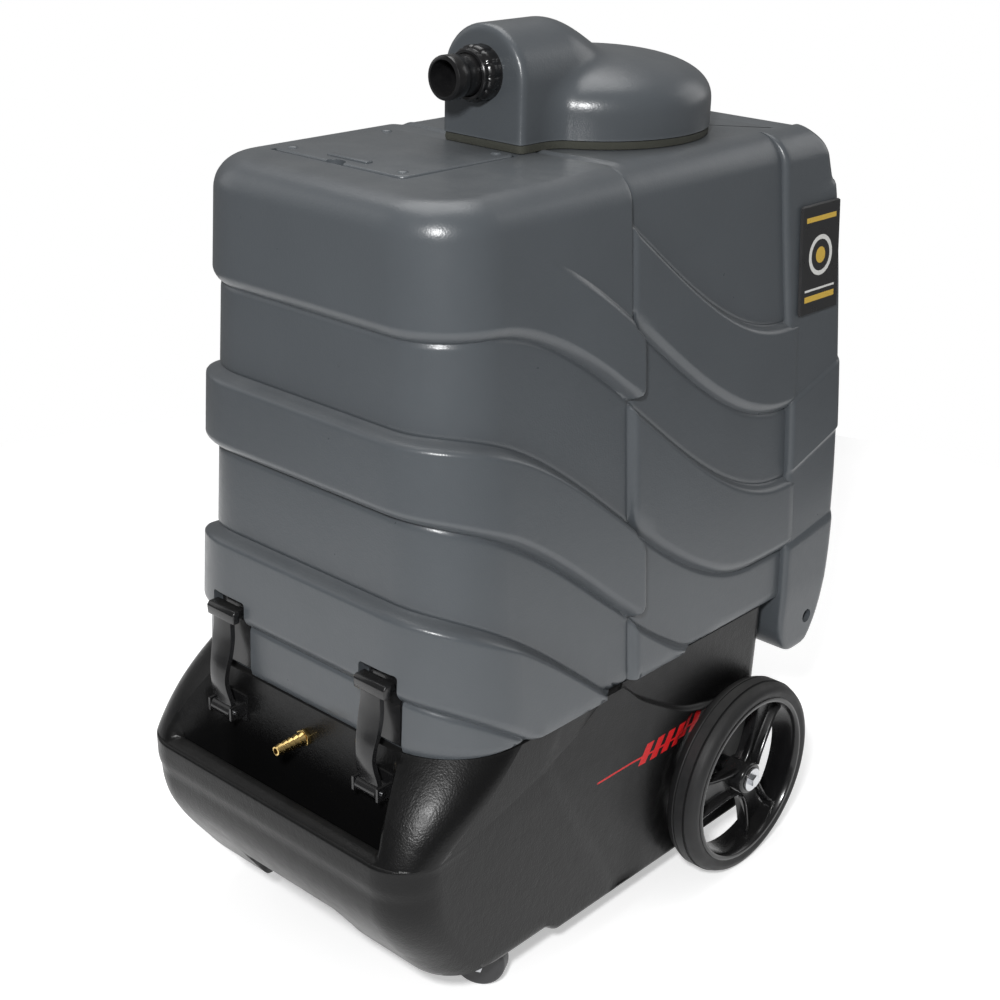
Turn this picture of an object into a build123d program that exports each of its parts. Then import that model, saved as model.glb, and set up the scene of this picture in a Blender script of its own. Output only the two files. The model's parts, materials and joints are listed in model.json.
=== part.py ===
"""Portable carpet cleaning machine: black base, tilting twin-chamber tank, lids, wheels, latches.

Frame: millimetres, +Z up, origin on the floor under the middle of the machine's length and width.
The front (grip bar, latches, casters) faces -Y, the big wheels and the hinge are at +Y.
"""
from build123d import *
from math import cos, radians, sin
import os

os.makedirs("parts", exist_ok=True)

# ---- overall sizes ----
OVERALL_LENGTH = 780.0      # front of the grip bar to the back of the tank wings
BODY_WIDTH = 452.0          # tank and base, at the seam between them
SEAM_Z = 334.0              # top rim of the base above the floor
TANK_HEIGHT = 577.0         # seam to the flat top of the tank
WALL = 5.0                  # moulded wall of base and tank
SEAM_GAP = 0.5              # tank underside above the base rim

# ---- base ----
BAR_REACH = 67.0            # grip bar ahead of the front wall
REAR_OVERHANG = 140.5       # wings behind the base's rear wall
BASE_FLOOR_Z = 41.0
BAR_TOP_Z = 245.0
BAR_BOTTOM_Z = 209.0
BAR_DEPTH = 24.0            # thickness of the grip bar, front to back
BAR_CORNER_R = 55.0
SCOOP_FLOOR_Z = 160.0
SEAM_CORNER_R = 105.0       # big front corners of base and tank at the seam
REAR_CORNER_R = 25.0
TUNNEL_Z = 118.0            # ceiling of the hollow between the two front lobes
SCOOP_SIDE = 76.0           # body side to the finger scoop behind the bar
TUNNEL_SIDE = 144.0         # body side to the hollow between the lobes
SADDLE_DEPTH = 8.0          # set-back of the side wall above the lettered panel

# ---- tank ----
TANK_DRAFT = 40.0           # each side leans in by this much from seam to top
FRONT_LEAN = 17.0
TOP_ROUND = 34.0
BAND_STEP = 12.0            # proud rows of the wave pattern
SKIRT_STEP = 6.0            # lowest row
TANK_BACK_Y_INSET = 90.0    # wings' rear edge to the tank's back wall
STEP_AHEAD = 323.0          # tank back wall to the plane where the two chambers meet
DIVIDER = 10.0
WING_WIDTH = 76.0           # body side to the inner face of each wing
WAVE_DROP = 280.0
WAVE_LENGTH = 516.0
WAVE_POINTS = 9
STEP_DROP = 4.0             # wave lines behind the step plane run this much lower

# ---- hinge of the tank ----
HINGE_Z = 292.0
HINGE_BACK = 60.0           # wings' rear edge to the hinge axis
ROD_R = 6.0
RUN = 0.05                  # running clearance on radius, shafts and pins
BUSH_WALL = 3.0

# ---- rear wheels ----
WHEEL_R = 127.0
WHEEL_WIDTH = 44.0
WHEEL_GAP = 4.0             # base side to the wheel's inner face
WHEEL_WELL_GAP = 8.0        # radial room round the tyre in the base's shallow wheel well
TYRE_DEPTH = 18.0
AXLE_R = 9.5
AXLE_INSET_SHARE = 0.5315   # base rear wall to the axle, as a share of the wheel radius
SPOKES = 3

# ---- casters ----
CASTER_R = 32.0
CASTER_WIDTH = 24.0
CASTER_TRAIL = 24.0
CASTER_SIDE = 65.0          # base side wall to the swivel axis
CASTER_SETBACK = 93.0       # front wall to the swivel axis
CASTER_REST_DEG = 25.0      # trail direction from +X at rest
CASTER_WELL_GAP = 4.0       # room round the swung caster wheel
CASTER_HEAD = 32.0          # wheel top to the mounting face

# ---- dome lid and inlet ----
DOME_R = 138.0
DOME_AHEAD = 174.4          # tank back wall to the dome's axis
DOME_TOP_RISE = 89.0        # above the tank top
GASKET_T = 10.0
HOOD_HALF = 58.0
HOOD_REACH = 181.6          # dome axis to the hood's front face
HOOD_RISE = 130.0
HOOD_RIDGE = 90.6           # dome axis to the end of the level ridge
HOOD_TAIL = 23.4            # the ridge dies out this far behind the dome axis
LID_WALL = 5.0
INLET_R = 23.5
INLET_WALL = 4.5
INLET_SHOULDER = 0.8         # the tube is thinner by this from just ahead of the collar
INLET_LENGTH = 59.0
COLLAR_DEPTH = 6.5          # collar above the tube
INLET_RISE = 79.0           # inlet axis above the tank top

# ---- fill lid ----
FILL_X0, FILL_X1 = -140.0, 57.0
FILL_SETBACK = 93.0         # front wall to the lid's front edge
FILL_HOOD_GAP = 4.0         # lid's rear edge to the hood
FILL_T = 6.0
FILL_LEDGE = 10.0
FILL_CLEAR = 0.8

# ---- latches ----
LATCH_SIDE = 106.0          # body side to the middle of the latch
LATCH_PIN_R = 3.0
LATCH_PIN_DROP = 44.0       # below the seam
LATCH_REACH = 18.0          # pin ahead of the front wall
LATCH_WIDTH = 32.0
LATCH_HEAD_WIDTH = 46.0
LATCH_HEAD_RISE = 84.0      # top of the T head above the seam
LATCH_T = 7.0

# ---- rear panel ----
PANEL_W, PANEL_H, PANEL_T = 210.0, 170.0, 3.0
PANEL_Z = 180.0
SWITCH_W, SWITCH_H = 16.0, 22.0
SWITCH_TILT = 8.0
SWITCH_PIN_R = 2.0

BARB_DROP = 40.0            # hose barb below the seam
BARB_SHANK_R = 6.0

# ---- push bar, drain valve and air pipe ----
PUSH_R = 14.0
PUSH_BACK = 32.0            # bar axis ahead of the wings' rear edge
PUSH_DROP = 141.0           # bar axis below the tank top
PUSH_SEAT = 12.0            # bar end let into each wing
VALVE_BORE_R = 22.0
VALVE_RISE = 58.0           # valve axis above the seam
VALVE_TRAVEL = 48.0         # how far the gate pulls out
PIPE_X = 60.0
PIPE_AHEAD = 122.0          # axle to the pipe
PIPE_R = 25.0
PIPE_WALL = 2.5
BALL_R = 18.0
PIPE_TOP_DROP = 70.0        # pipe mouth below the tank top

# ---- derived places ----
HANDLE_Y = -OVERALL_LENGTH / 2
WING_REAR_Y = OVERALL_LENGTH / 2
FRONT_Y = HANDLE_Y + BAR_REACH
REAR_Y = WING_REAR_Y - REAR_OVERHANG
HALF = BODY_WIDTH / 2
TANK_Z = SEAM_Z + SEAM_GAP
TANK_TOP = SEAM_Z + TANK_HEIGHT
BACK_Y = WING_REAR_Y - TANK_BACK_Y_INSET
HINGE_Y = WING_REAR_Y - HINGE_BACK
AXLE_Y = REAR_Y - WHEEL_R * AXLE_INSET_SHARE
SIDE_X = HALF - 9.0         # base side wall at floor level
WHEEL_IN = SIDE_X + WHEEL_GAP
WHEEL_OUT = WHEEL_IN + WHEEL_WIDTH
CASTER_Y = FRONT_Y + CASTER_SETBACK
SCOOP_HALF = HALF - SCOOP_SIDE
TUNNEL_HALF = HALF - TUNNEL_SIDE
WING_INNER_X = HALF - WING_WIDTH
STEP_Y = BACK_Y - STEP_AHEAD
CASTER_X = SIDE_X - CASTER_SIDE
CASTER_WELL_R = CASTER_TRAIL + CASTER_R + CASTER_WELL_GAP
CASTER_CEILING = 2 * CASTER_R + CASTER_HEAD
DOME_Y = BACK_Y - DOME_AHEAD
HOOD_FRONT_Y = DOME_Y - HOOD_REACH
HOOD_RIDGE_Y = DOME_Y - HOOD_RIDGE
HOOD_END_Y = DOME_Y + HOOD_TAIL
INLET_BORE_R = INLET_R - INLET_WALL
INLET_SEAT_R = INLET_R - INLET_SHOULDER
INLET_COLLAR_R = INLET_R + COLLAR_DEPTH
FILL_Y0, FILL_Y1 = FRONT_Y + FILL_SETBACK, HOOD_FRONT_Y - FILL_HOOD_GAP
LATCH_X = HALF - LATCH_SIDE
PIPE_Y = AXLE_Y - PIPE_AHEAD
BAR_Y = WING_REAR_Y - PUSH_BACK
BAR_GRIP_Z = TANK_TOP - PUSH_DROP
BARB_Z = SEAM_Z - BARB_DROP
VALVE_Z = SEAM_Z + VALVE_RISE


def box(x0, x1, y0, y1, z0, z1):
    """Axis-aligned block between two corners."""
    return Pos((x0 + x1) / 2, (y0 + y1) / 2, (z0 + z1) / 2) * Box(x1 - x0, y1 - y0, z1 - z0)


def rod_x(x0, x1, y, z, r):
    """Cylinder along X."""
    return Pos((x0 + x1) / 2, y, z) * Rot(0, 90, 0) * Cylinder(r, abs(x1 - x0))


def rod_y(x, y0, y1, z, r):
    """Cylinder along Y."""
    return Pos(x, (y0 + y1) / 2, z) * Rot(90, 0, 0) * Cylinder(r, abs(y1 - y0))


def rod_z(x, y, z0, z1, r):
    """Cylinder along Z."""
    return Pos(x, y, (z0 + z1) / 2) * Cylinder(r, z1 - z0)


def outline(half, y0, y1, r_front, r_rear, z):
    """Plan outline with its own front and rear corner radii, at height z."""
    sheet = Pos(0, (y0 + y1) / 2, z) * Rectangle(2 * half, y1 - y0)
    sheet = fillet(sheet.vertices().group_by(Axis.Y)[0], r_front)
    rear = [v for v in sheet.vertices() if v.Y > y1 - 0.01]
    return fillet(rear, r_rear)


def side_shape(points, x0, x1):
    """Closed outline given as (y, z) points, extruded along X from x0 to x1."""
    face = make_face(Polyline(*[(x0, y, z) for y, z in points], close=True))
    return extrude(face, amount=x1 - x0, dir=(1, 0, 0))


def save(node, *solids):
    """Write one node, as one solid or as a group of separate solids."""
    flat = []
    for item in solids:
        flat += list(item) if isinstance(item, (list, tuple)) else [item]
    pieces = [s for item in flat for s in item.solids()]
    shape = pieces[0] if len(pieces) == 1 else Compound(children=pieces)
    export_step(shape, f"parts/{node}.step")


# ---- base tub ----

def base_skin(grow):
    """Outer form of the base, shrunk by -grow on every side."""
    g = grow
    seam = outline(HALF + g, FRONT_Y - g, REAR_Y + g, SEAM_CORNER_R, REAR_CORNER_R, SEAM_Z)
    shoulder = outline(HALF - 3 + g, HANDLE_Y - g, REAR_Y + g, BAR_CORNER_R, REAR_CORNER_R, BAR_TOP_Z + g)
    bar_foot = outline(HALF - 4 + g, HANDLE_Y - g, REAR_Y + g, BAR_CORNER_R, REAR_CORNER_R, BAR_BOTTOM_Z - g)
    upper = loft([seam, shoulder], ruled=True) + loft([shoulder, bar_foot], ruled=True)
    tuck = 20.0
    under = outline(HALF - 4 + g, HANDLE_Y + tuck - g, REAR_Y + g, BAR_CORNER_R, REAR_CORNER_R,
                    BAR_BOTTOM_Z - g)
    floor = outline(SIDE_X + g, HANDLE_Y + tuck - g, REAR_Y + g, BAR_CORNER_R, REAR_CORNER_R,
                    BASE_FLOOR_Z - g)
    y = HANDLE_Y - g
    prow = [(y + tuck - 2, BAR_BOTTOM_Z + 15), (y + 24, 150), (y + 32, 122), (y + 48, 90), (y + 68, 66),
            (y + 94, 52 - g), (FRONT_Y + 165, 50 - g), (FRONT_Y + 185, BASE_FLOOR_Z - g),
            (REAR_Y + g + 5, BASE_FLOOR_Z - g), (REAR_Y + g + 5, BAR_BOTTOM_Z + 15)]
    lower = loft([under, floor], ruled=True) & side_shape(prow, -HALF - 20, HALF + 20)
    return upper + lower


def base_recesses(grow):
    """Hollows pressed into the base from outside, enlarged by grow for the wall behind them."""
    g = grow
    cuts = []
    scoop = [(HANDLE_Y + BAR_DEPTH - g, SCOOP_FLOOR_Z + 25), (HANDLE_Y + BAR_DEPTH + 12, SCOOP_FLOOR_Z - g),
             (FRONT_Y - 14, SCOOP_FLOOR_Z - g), (FRONT_Y + g, SCOOP_FLOOR_Z + 20),
             (FRONT_Y + g, SEAM_Z + 10), (HANDLE_Y + BAR_DEPTH - g, SEAM_Z + 10)]
    cuts.append(side_shape(scoop, -SCOOP_HALF - g, SCOOP_HALF + g))
    cuts.append(box(-TUNNEL_HALF - g, TUNNEL_HALF + g, HANDLE_Y - 10, FRONT_Y + 165, 0, TUNNEL_Z + g))
    for side in (-1, 1):
        cuts.append(rod_z(side * CASTER_X, CASTER_Y, 0, CASTER_CEILING + g, CASTER_WELL_R + g))
        y0, y1 = FRONT_Y + 275, REAR_Y + 20
        saddle = make_face(Polyline((0, y0 - g, SEAM_Z + 10), (0, y0 - g, SEAM_Z - 5),
                                    (0, y0 + 55 - g, SEAM_Z - 48), (0, y0 + 110 - g, SEAM_Z - 84 - g),
                                    (0, y0 + 190, SEAM_Z - 100 - g), (0, y1, SEAM_Z - 104 - g),
                                    (0, y1, SEAM_Z + 10), close=True))
        x_in = HALF - 3 - SADDLE_DEPTH - g
        block = extrude(Pos(side * x_in, 0, 0) * saddle, amount=60, dir=(side, 0, 0))
        cuts.append(block)
        cuts.append(rod_x(side * (SIDE_X - g), side * (HALF + 30), AXLE_Y, WHEEL_R,
                          WHEEL_R + WHEEL_WELL_GAP + g))
    return cuts


def base_tub():
    """Open-topped moulded base with the grip bar, scoop, lobes and caster wells."""
    cavity = base_skin(-WALL)
    rim = WALL + 3.0
    mouth = outline(HALF - rim, FRONT_Y + WALL, REAR_Y - WALL, SEAM_CORNER_R - WALL,
                    REAR_CORNER_R - WALL, BAR_BOTTOM_Z - 15)
    cavity += extrude(mouth, amount=SEAM_Z + 25 - BAR_BOTTOM_Z)
    for cut in base_recesses(WALL):
        cavity -= cut
    tub = base_skin(0)
    for cut in base_recesses(0):
        tub -= cut
    tub -= cavity
    for side in (-1, 1):
        tub -= rod_x(side * (SIDE_X - 40), side * (SIDE_X + 40), AXLE_Y, WHEEL_R, AXLE_R + 0.2)
        tub -= box(side * 40 - 12, side * 40 + 12, AXLE_Y - 60, AXLE_Y - 30, 0, BASE_FLOOR_Z + 20)
    tub -= rod_y(0, FRONT_Y - 30, FRONT_Y + 30, BARB_Z, BARB_SHANK_R)
    tub -= box(-PANEL_W / 2 + 14, PANEL_W / 2 - 14, REAR_Y - 20, REAR_Y + 20,
               PANEL_Z - PANEL_H / 2 + 14, PANEL_Z + PANEL_H / 2 - 14)
    return tub



# ---- tank ----

def tank_half(z, step=0.0):
    """Half width of the tank at height z, for a row that stands proud by step."""
    return HALF - SKIRT_STEP - TANK_DRAFT * (z - SEAM_Z) / TANK_HEIGHT + step


def tank_front(z, step=0.0):
    """Y of the front face at height z, for a row that stands proud by step."""
    return FRONT_Y + SKIRT_STEP + FRONT_LEAN * (z - SEAM_Z) / TANK_HEIGHT - step


def tank_block(step, z0=TANK_Z, z1=TANK_TOP, back=BACK_Y):
    """Drafted tank body whose skin stands proud by step, with its rounded top edge."""
    levels = [(z0, 0.0), (TANK_TOP - TOP_ROUND, 0.0), (TANK_TOP - TOP_ROUND * 0.3, TOP_ROUND * 0.3),
              (TANK_TOP, TOP_ROUND)]
    if z1 < TANK_TOP:
        levels = [(z0, 0.0), (z1, 0.0)]
    rings = []
    for z, inset in levels:
        radius = SEAM_CORNER_R - 25.0 * (z - SEAM_Z) / TANK_HEIGHT - inset
        rings.append(outline(tank_half(z, step) - inset, tank_front(z, step) + inset, back,
                             radius, 4.0, z))
    return loft(rings, ruled=True)


def wave(z_front, centre_y, y):
    """Height of one wave line at y: level along the front, falling in an S towards the back."""
    t = min(max((y - centre_y) / WAVE_LENGTH + 0.5, 0.0), 1.0)
    return z_front - WAVE_DROP * t * t * (3 - 2 * t)


def wave_slab(upper, lower, y0, y1):
    """Block between two wave lines, each (front height, centre y), from y0 to y1."""
    steps = [y0 + (y1 - y0) * i / (WAVE_POINTS - 1) for i in range(WAVE_POINTS)]
    top = [(y, wave(*upper, y)) for y in steps]
    bottom = [(y, wave(*lower, y)) for y in reversed(steps)]
    return side_shape(top + bottom, -HALF - 30, HALF + 30)


LINE_R1 = (TANK_TOP + 63, 5.0)
LINE_2 = (TANK_TOP - 45, 9.0)
LINE_A = (TANK_TOP - 134, 6.5)
LINE_B = (TANK_TOP - 229, -51.0)
LINE_C = (TANK_TOP - 316, -81.0)
LINE_D = (TANK_TOP - 408, -105.0)
LINE_E = (TANK_TOP - 501, -128.0)
ABOVE = (TANK_TOP + 400, 0.0)
BELOW = (SEAM_Z - 200, 0.0)


def behind(line):
    """The same wave line where it goes on behind the step plane, a little lower."""
    return line[0] - STEP_DROP, line[1]


def wing_profile(grow):
    """Side outline of one rear wing as (y, z) points, shrunk by -grow."""
    g = grow
    r = WING_REAR_Y
    return [(r - 162 - g, TANK_TOP - 65), (r - 128 - g, TANK_Z + 2), (r - 122 - g, TANK_Z - 50),
            (r - 112 - g, TANK_Z - 72 - g * 0.6), (r - 96, TANK_Z - 84 - g), (r - 58, TANK_Z - 84 - g),
            (r - 40 + g * 0.7, TANK_Z - 66 - g * 0.6), (r - 18 + g, TANK_Z - 20), (r - 4 + g, TANK_Z + 48),
            (r + g, TANK_Z + 128), (r - 1 + g, TANK_Z + 200), (r - 6 + g, TANK_Z + 330),
            (r - 20 + g, TANK_Z + 470), (r - 40 + g * 0.8, TANK_Z + 556 + g * 0.4),
            (r - 62, TANK_TOP + g), (r - 150, TANK_TOP + g)]


def wing(side, grow):
    """One rear wing, from its inner face out to the drafted side of the tank."""
    blank = side_shape(wing_profile(grow), min(side * (WING_INNER_X - grow), side * (HALF + 30)),
                       max(side * (WING_INNER_X - grow), side * (HALF + 30)))
    z0, z1 = TANK_Z - 110, TANK_TOP - 30
    y0, y1 = BACK_Y - 200, WING_REAR_Y + 20
    rings = []
    for z, inset in ((z0, 0.0), (z1, 0.0), (TANK_TOP + 5, 24.0)):
        half = min(tank_half(z, 4.0), HALF - 4.0) - inset + grow
        rings.append(Pos(0, (y0 + y1) / 2, z) * Rectangle(2 * half, y1 - y0))
    return blank & loft(rings, ruled=True)


def tank_cavity():
    """Clean-water chamber in front, waste-water chamber behind, and the hollow wings."""
    z0, z1 = TANK_Z + WALL, TANK_TOP - WALL
    rings = []
    for z, inset in ((z0, 0.0), (TANK_TOP - TOP_ROUND, 0.0), (z1, TOP_ROUND - WALL)):
        radius = SEAM_CORNER_R - 25.0 * (z - SEAM_Z) / TANK_HEIGHT - WALL - inset
        rings.append(outline(tank_half(z) - WALL - inset, tank_front(z) + WALL + inset,
                             BACK_Y - WALL, radius, 4.0, z))
    room = loft(rings, ruled=True)
    room -= box(-HALF, HALF, STEP_Y - DIVIDER / 2, STEP_Y + DIVIDER / 2, 0, TANK_TOP + 50)
    return room


def hatch_cutters():
    """Recess for the fill lid and the opening below it."""
    c = FILL_CLEAR
    recess = box(FILL_X0 - c, FILL_X1 + c, FILL_Y0 - c, FILL_Y1 + c, TANK_TOP - FILL_T, TANK_TOP + 40)
    hole = box(FILL_X0 + FILL_LEDGE, FILL_X1 - FILL_LEDGE, FILL_Y0 + FILL_LEDGE, FILL_Y1 - FILL_LEDGE,
               TANK_TOP - 30, TANK_TOP + 1)
    return recess, hole


def tank_shell():
    """Moulded two-chamber tank with wave rows, rear wings, lid openings and hinge bores."""
    back = BACK_Y
    shell = tank_block(0.0)
    skirt = tank_block(SKIRT_STEP, z1=TANK_TOP - 1)
    proud = tank_block(BAND_STEP, z1=TANK_TOP - 1)
    crown = tank_block(SKIRT_STEP)
    front0, step, rear1 = HANDLE_Y, STEP_Y, back + 20
    shell += crown & wave_slab(ABOVE, LINE_A, front0, step)
    shell += proud & wave_slab(LINE_B, LINE_C, front0, step)
    shell += proud & wave_slab(LINE_D, LINE_E, front0, step)
    shell += skirt & wave_slab(LINE_E, BELOW, front0, step)
    shell += crown & wave_slab(behind(LINE_R1), behind(LINE_2), step, rear1)
    shell += skirt & wave_slab(behind(LINE_A), behind(LINE_B), step, rear1)
    shell += skirt & wave_slab(behind(LINE_C), BELOW, step, rear1)
    bridge = side_shape([(back - 20, TANK_TOP - 100), (back, TANK_TOP - 100), (back + 42, TANK_TOP - 52),
                         (back + 42, TANK_TOP - 16), (back + 28, TANK_TOP), (back - 20, TANK_TOP)],
                        -WING_INNER_X - 5, WING_INNER_X + 5)
    shell += bridge
    for side in (-1, 1):
        shell += wing(side, 0)
    shell -= tank_cavity()
    for side in (-1, 1):
        shell -= wing(side, -WALL) & box(-HALF, HALF, BACK_Y - 12, WING_REAR_Y, TANK_Z + WALL,
                                         TANK_TOP - WALL)
    for cutter in hatch_cutters():
        shell -= cutter
    shell -= rod_z(0, DOME_Y, TANK_TOP - 30, TANK_TOP + 5, DOME_R - 22)
    for x in (-LATCH_X, LATCH_X):
        shell -= box(x - 26, x + 26, HANDLE_Y, FRONT_Y + 8, SEAM_Z - 5, SEAM_Z + LATCH_HEAD_RISE + 8)
    shell -= rod_x(-HALF, HALF, HINGE_Y, HINGE_Z, ROD_R + BUSH_WALL)
    seat = WING_INNER_X + PUSH_SEAT
    shell -= rod_x(-seat, seat, BAR_Y, BAR_GRIP_Z, PUSH_R)
    shell -= rod_y(0, BACK_Y - 20, BACK_Y + 20, VALVE_Z, VALVE_BORE_R)
    shell -= rod_z(PIPE_X, PIPE_Y, TANK_Z - 5, TANK_Z + 20, PIPE_R)
    return shell



# ---- pieces of the base ----

def caster_frame(side):
    """Placement with its X along the caster's trail and Y along its wheel axle."""
    turn = CASTER_REST_DEG if side > 0 else 180 - CASTER_REST_DEG
    return Pos(side * CASTER_X, CASTER_Y, 0) * Rot(0, 0, turn)


def caster_pieces(side):
    """Mounting plate, its four screws, the swivelling fork and the small wheel."""
    top = CASTER_CEILING
    place = caster_frame(side)
    plate = rod_z(0, 0, top - 3, top, 38) + rod_z(0, 0, top - 12, top - 3, 21)
    plate -= rod_z(0, 0, top - 13, top + 1, 6)
    screws = [rod_z(30 * cos(a), 30 * sin(a), top - 6.5, top - 3, 5)
              for a in (radians(45 + 90 * i) for i in range(4))]
    crown = rod_z(0, 0, top - 17, top - 12.3, 24) + rod_z(0, 0, top - 17, top, 6 - RUN)
    cheek = make_face(Polyline((-20, 0, top - 12.3), (20, 0, top - 12.3), (CASTER_TRAIL + 9, 0, CASTER_R),
                               (CASTER_TRAIL + 6, 0, CASTER_R - 9), (CASTER_TRAIL - 6, 0, CASTER_R - 9),
                               (CASTER_TRAIL - 10, 0, CASTER_R), (-20, 0, top - 17), close=True))
    fork = crown
    inner = CASTER_WIDTH / 2 + 2
    for s in (-1, 1):
        fork += extrude(Pos(0, s * inner, 0) * cheek, amount=3, dir=(0, s, 0))
    fork += box(-20, 20, -inner - 3, inner + 3, top - 17, top - 14)
    fork -= rod_z(0, 0, CASTER_R - 10, top - 17, 6)
    fork += rod_y(CASTER_TRAIL, -inner - 6, inner + 6, CASTER_R, 4)
    wheel = rod_y(CASTER_TRAIL, -CASTER_WIDTH / 2, CASTER_WIDTH / 2, CASTER_R, CASTER_R)
    wheel = fillet(wheel.edges().filter_by(GeomType.CIRCLE), 5)
    wheel += rod_y(CASTER_TRAIL, -inner + 0.5, inner - 0.5, CASTER_R, 9)
    wheel -= rod_y(CASTER_TRAIL, -40, 40, CASTER_R, 4 + RUN)
    return place * plate, [place * item for item in screws], place * fork, place * wheel


def rear_wheel(side):
    """Tyre, three-spoke rim and bearing bush of one big wheel."""
    x0, x1 = side * WHEEL_IN, side * WHEEL_OUT
    mid = (x0 + x1) / 2
    rim_r = WHEEL_R - TYRE_DEPTH
    tyre = rod_x(x0, x1, AXLE_Y, WHEEL_R, WHEEL_R)
    tyre = fillet(tyre.edges().filter_by(GeomType.CIRCLE), 7)
    tyre -= rod_x(x0 - side, x1 + side, AXLE_Y, WHEEL_R, rim_r)
    rim = rod_x(x0 + side * 2, x1 - side * 2, AXLE_Y, WHEEL_R, rim_r)
    rim -= rod_x(x0, x1, AXLE_Y, WHEEL_R, rim_r - 6)
    rim += rod_x(mid - side * 12, x1 - side * 3, AXLE_Y, WHEEL_R, 21)
    for i in range(SPOKES):
        bar = box(20 - 4, rim_r - 3, -14, 14, -5, 5) - box(19, rim_r + 5, -9, 9, -1, 6)
        angle = 180 - 360 * i / SPOKES
        rim += (Pos(mid + side * 2, AXLE_Y, WHEEL_R) * Rot(angle, 0, 0) * Rot(0, 0, 90)
                * Rot(90 + 90 - 90 * side, 0, 0) * bar)
    bush_x0, bush_x1 = mid - side * 12, x1 - side * 3
    bore = rod_x(x0 - side, x1 + side, AXLE_Y, WHEEL_R, AXLE_R + BUSH_WALL)
    rim -= bore
    bush = rod_x(bush_x0, bush_x1, AXLE_Y, WHEEL_R, AXLE_R + BUSH_WALL)
    bush -= rod_x(x0 - side, x1 + side, AXLE_Y, WHEEL_R, AXLE_R + RUN)
    return tyre, rim, bush


def axle_pieces():
    """Fixed rear axle with a spacer collar, washer and bolt at each end."""
    end = WHEEL_OUT - 2.0
    bar = rod_x(-end, end, AXLE_Y, WHEEL_R, AXLE_R)
    washers, bolts = [], []
    for side in (-1, 1):
        bar += rod_x(side * (SIDE_X + 0.5), side * (WHEEL_IN + WHEEL_WIDTH / 2 - 13), AXLE_Y, WHEEL_R, 15)
        washers.append(rod_x(side * end, side * (end + 2), AXLE_Y, WHEEL_R, 15))
        hexagon = Pos(side * (end + 2), AXLE_Y, WHEEL_R) * Rot(0, 90 * side, 0) * RegularPolygon(8, 6)
        bolts.append(extrude(hexagon, amount=5.3, dir=(side, 0, 0)))
    return bar, washers, bolts


def hinge_pieces():
    """Two brackets on the base's rear wall and the rod that carries the tank."""
    brackets, screws = [], []
    for x in (-WING_INNER_X + 12, WING_INNER_X - 18):
        arm = side_shape([(REAR_Y, HINGE_Z - 34), (REAR_Y, HINGE_Z + 26), (HINGE_Y - 6, HINGE_Z + 14),
                          (HINGE_Y + 13, HINGE_Z + 6), (HINGE_Y + 13, HINGE_Z - 8), (HINGE_Y - 4, HINGE_Z - 15)],
                         x, x + 6)
        arm += box(x - 16, x + 22, REAR_Y, REAR_Y + 4, HINGE_Z - 34, HINGE_Z + 26)
        arm -= rod_x(x - 1, x + 7, HINGE_Y, HINGE_Z, ROD_R)
        brackets.append(arm)
        for dx in (-8, 14):
            for dz in (-25, 17):
                screws.append(rod_y(x + dx, REAR_Y + 4, REAR_Y + 7.5, HINGE_Z + dz, 5))
    end = HALF - 10.0
    return brackets, screws, rod_x(-end, end, HINGE_Y, HINGE_Z, ROD_R)


def hinge_bushes():
    """Plain bushes pressed into the two wings, turning on the hinge rod."""
    out = []
    for side in (-1, 1):
        bush = rod_x(side * (WING_INNER_X + 1), side * (HALF - 12), HINGE_Y, HINGE_Z, ROD_R + BUSH_WALL)
        out.append(bush - rod_x(-HALF, HALF, HINGE_Y, HINGE_Z, ROD_R + RUN))
    return out


def latch(x):
    """T-headed draw latch: eye on its pin, bowed strap and hooked head."""
    py, pz = FRONT_Y - LATCH_REACH, SEAM_Z - LATCH_PIN_DROP
    top = SEAM_Z + LATCH_HEAD_RISE
    w = LATCH_WIDTH / 2
    face = FRONT_Y - 9.0
    strap = side_shape([(py - 4, pz), (face - LATCH_T - 5, pz + 45), (face - LATCH_T - 2, top - 18),
                        (face - LATCH_T - 2, top), (face - 1, top), (face - 1, top - 18),
                        (face - 5, pz + 45), (py + 4, pz)], x - w, x + w)
    strap += rod_x(x - w, x + w, py, pz, 8)
    h = LATCH_HEAD_WIDTH / 2
    strap += side_shape([(face - LATCH_T - 3, top - 16), (face - LATCH_T - 3, top), (face + 8, top),
                         (face + 8, top - 9), (face - 1, top - 9), (face - 1, top - 16)], x - h, x + h)
    return strap - rod_x(x - w - 1, x + w + 1, py, pz, LATCH_PIN_R + RUN)


def latch_mounts(x):
    """Pin bracket on the base's front wall, the pin, and the keeper on the tank."""
    py, pz = FRONT_Y - LATCH_REACH, SEAM_Z - LATCH_PIN_DROP
    w = LATCH_WIDTH / 2
    bracket = box(x - w - 5, x + w + 5, FRONT_Y - 3, FRONT_Y, pz - 16, pz + 16)
    for s in (-1, 1):
        ear = box(min(s * (w + 1), s * (w + 4)), max(s * (w + 1), s * (w + 4)),
                  py - 7, FRONT_Y - 3, pz - 8, pz + 8)
        bracket += Pos(x, 0, 0) * ear
    bracket -= rod_x(x - w - 6, x + w + 6, py, pz, LATCH_PIN_R)
    pin = rod_x(x - w - 6, x + w + 6, py, pz, LATCH_PIN_R)
    top = SEAM_Z + LATCH_HEAD_RISE
    y = FRONT_Y + 8.0
    keeper = box(x - 23, x + 23, y - 3, y, SEAM_Z + 6, top + 4)
    keeper += box(x - 20, x + 20, FRONT_Y, y - 3, top - 16, top - 10.5)
    return bracket, pin, keeper


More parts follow.
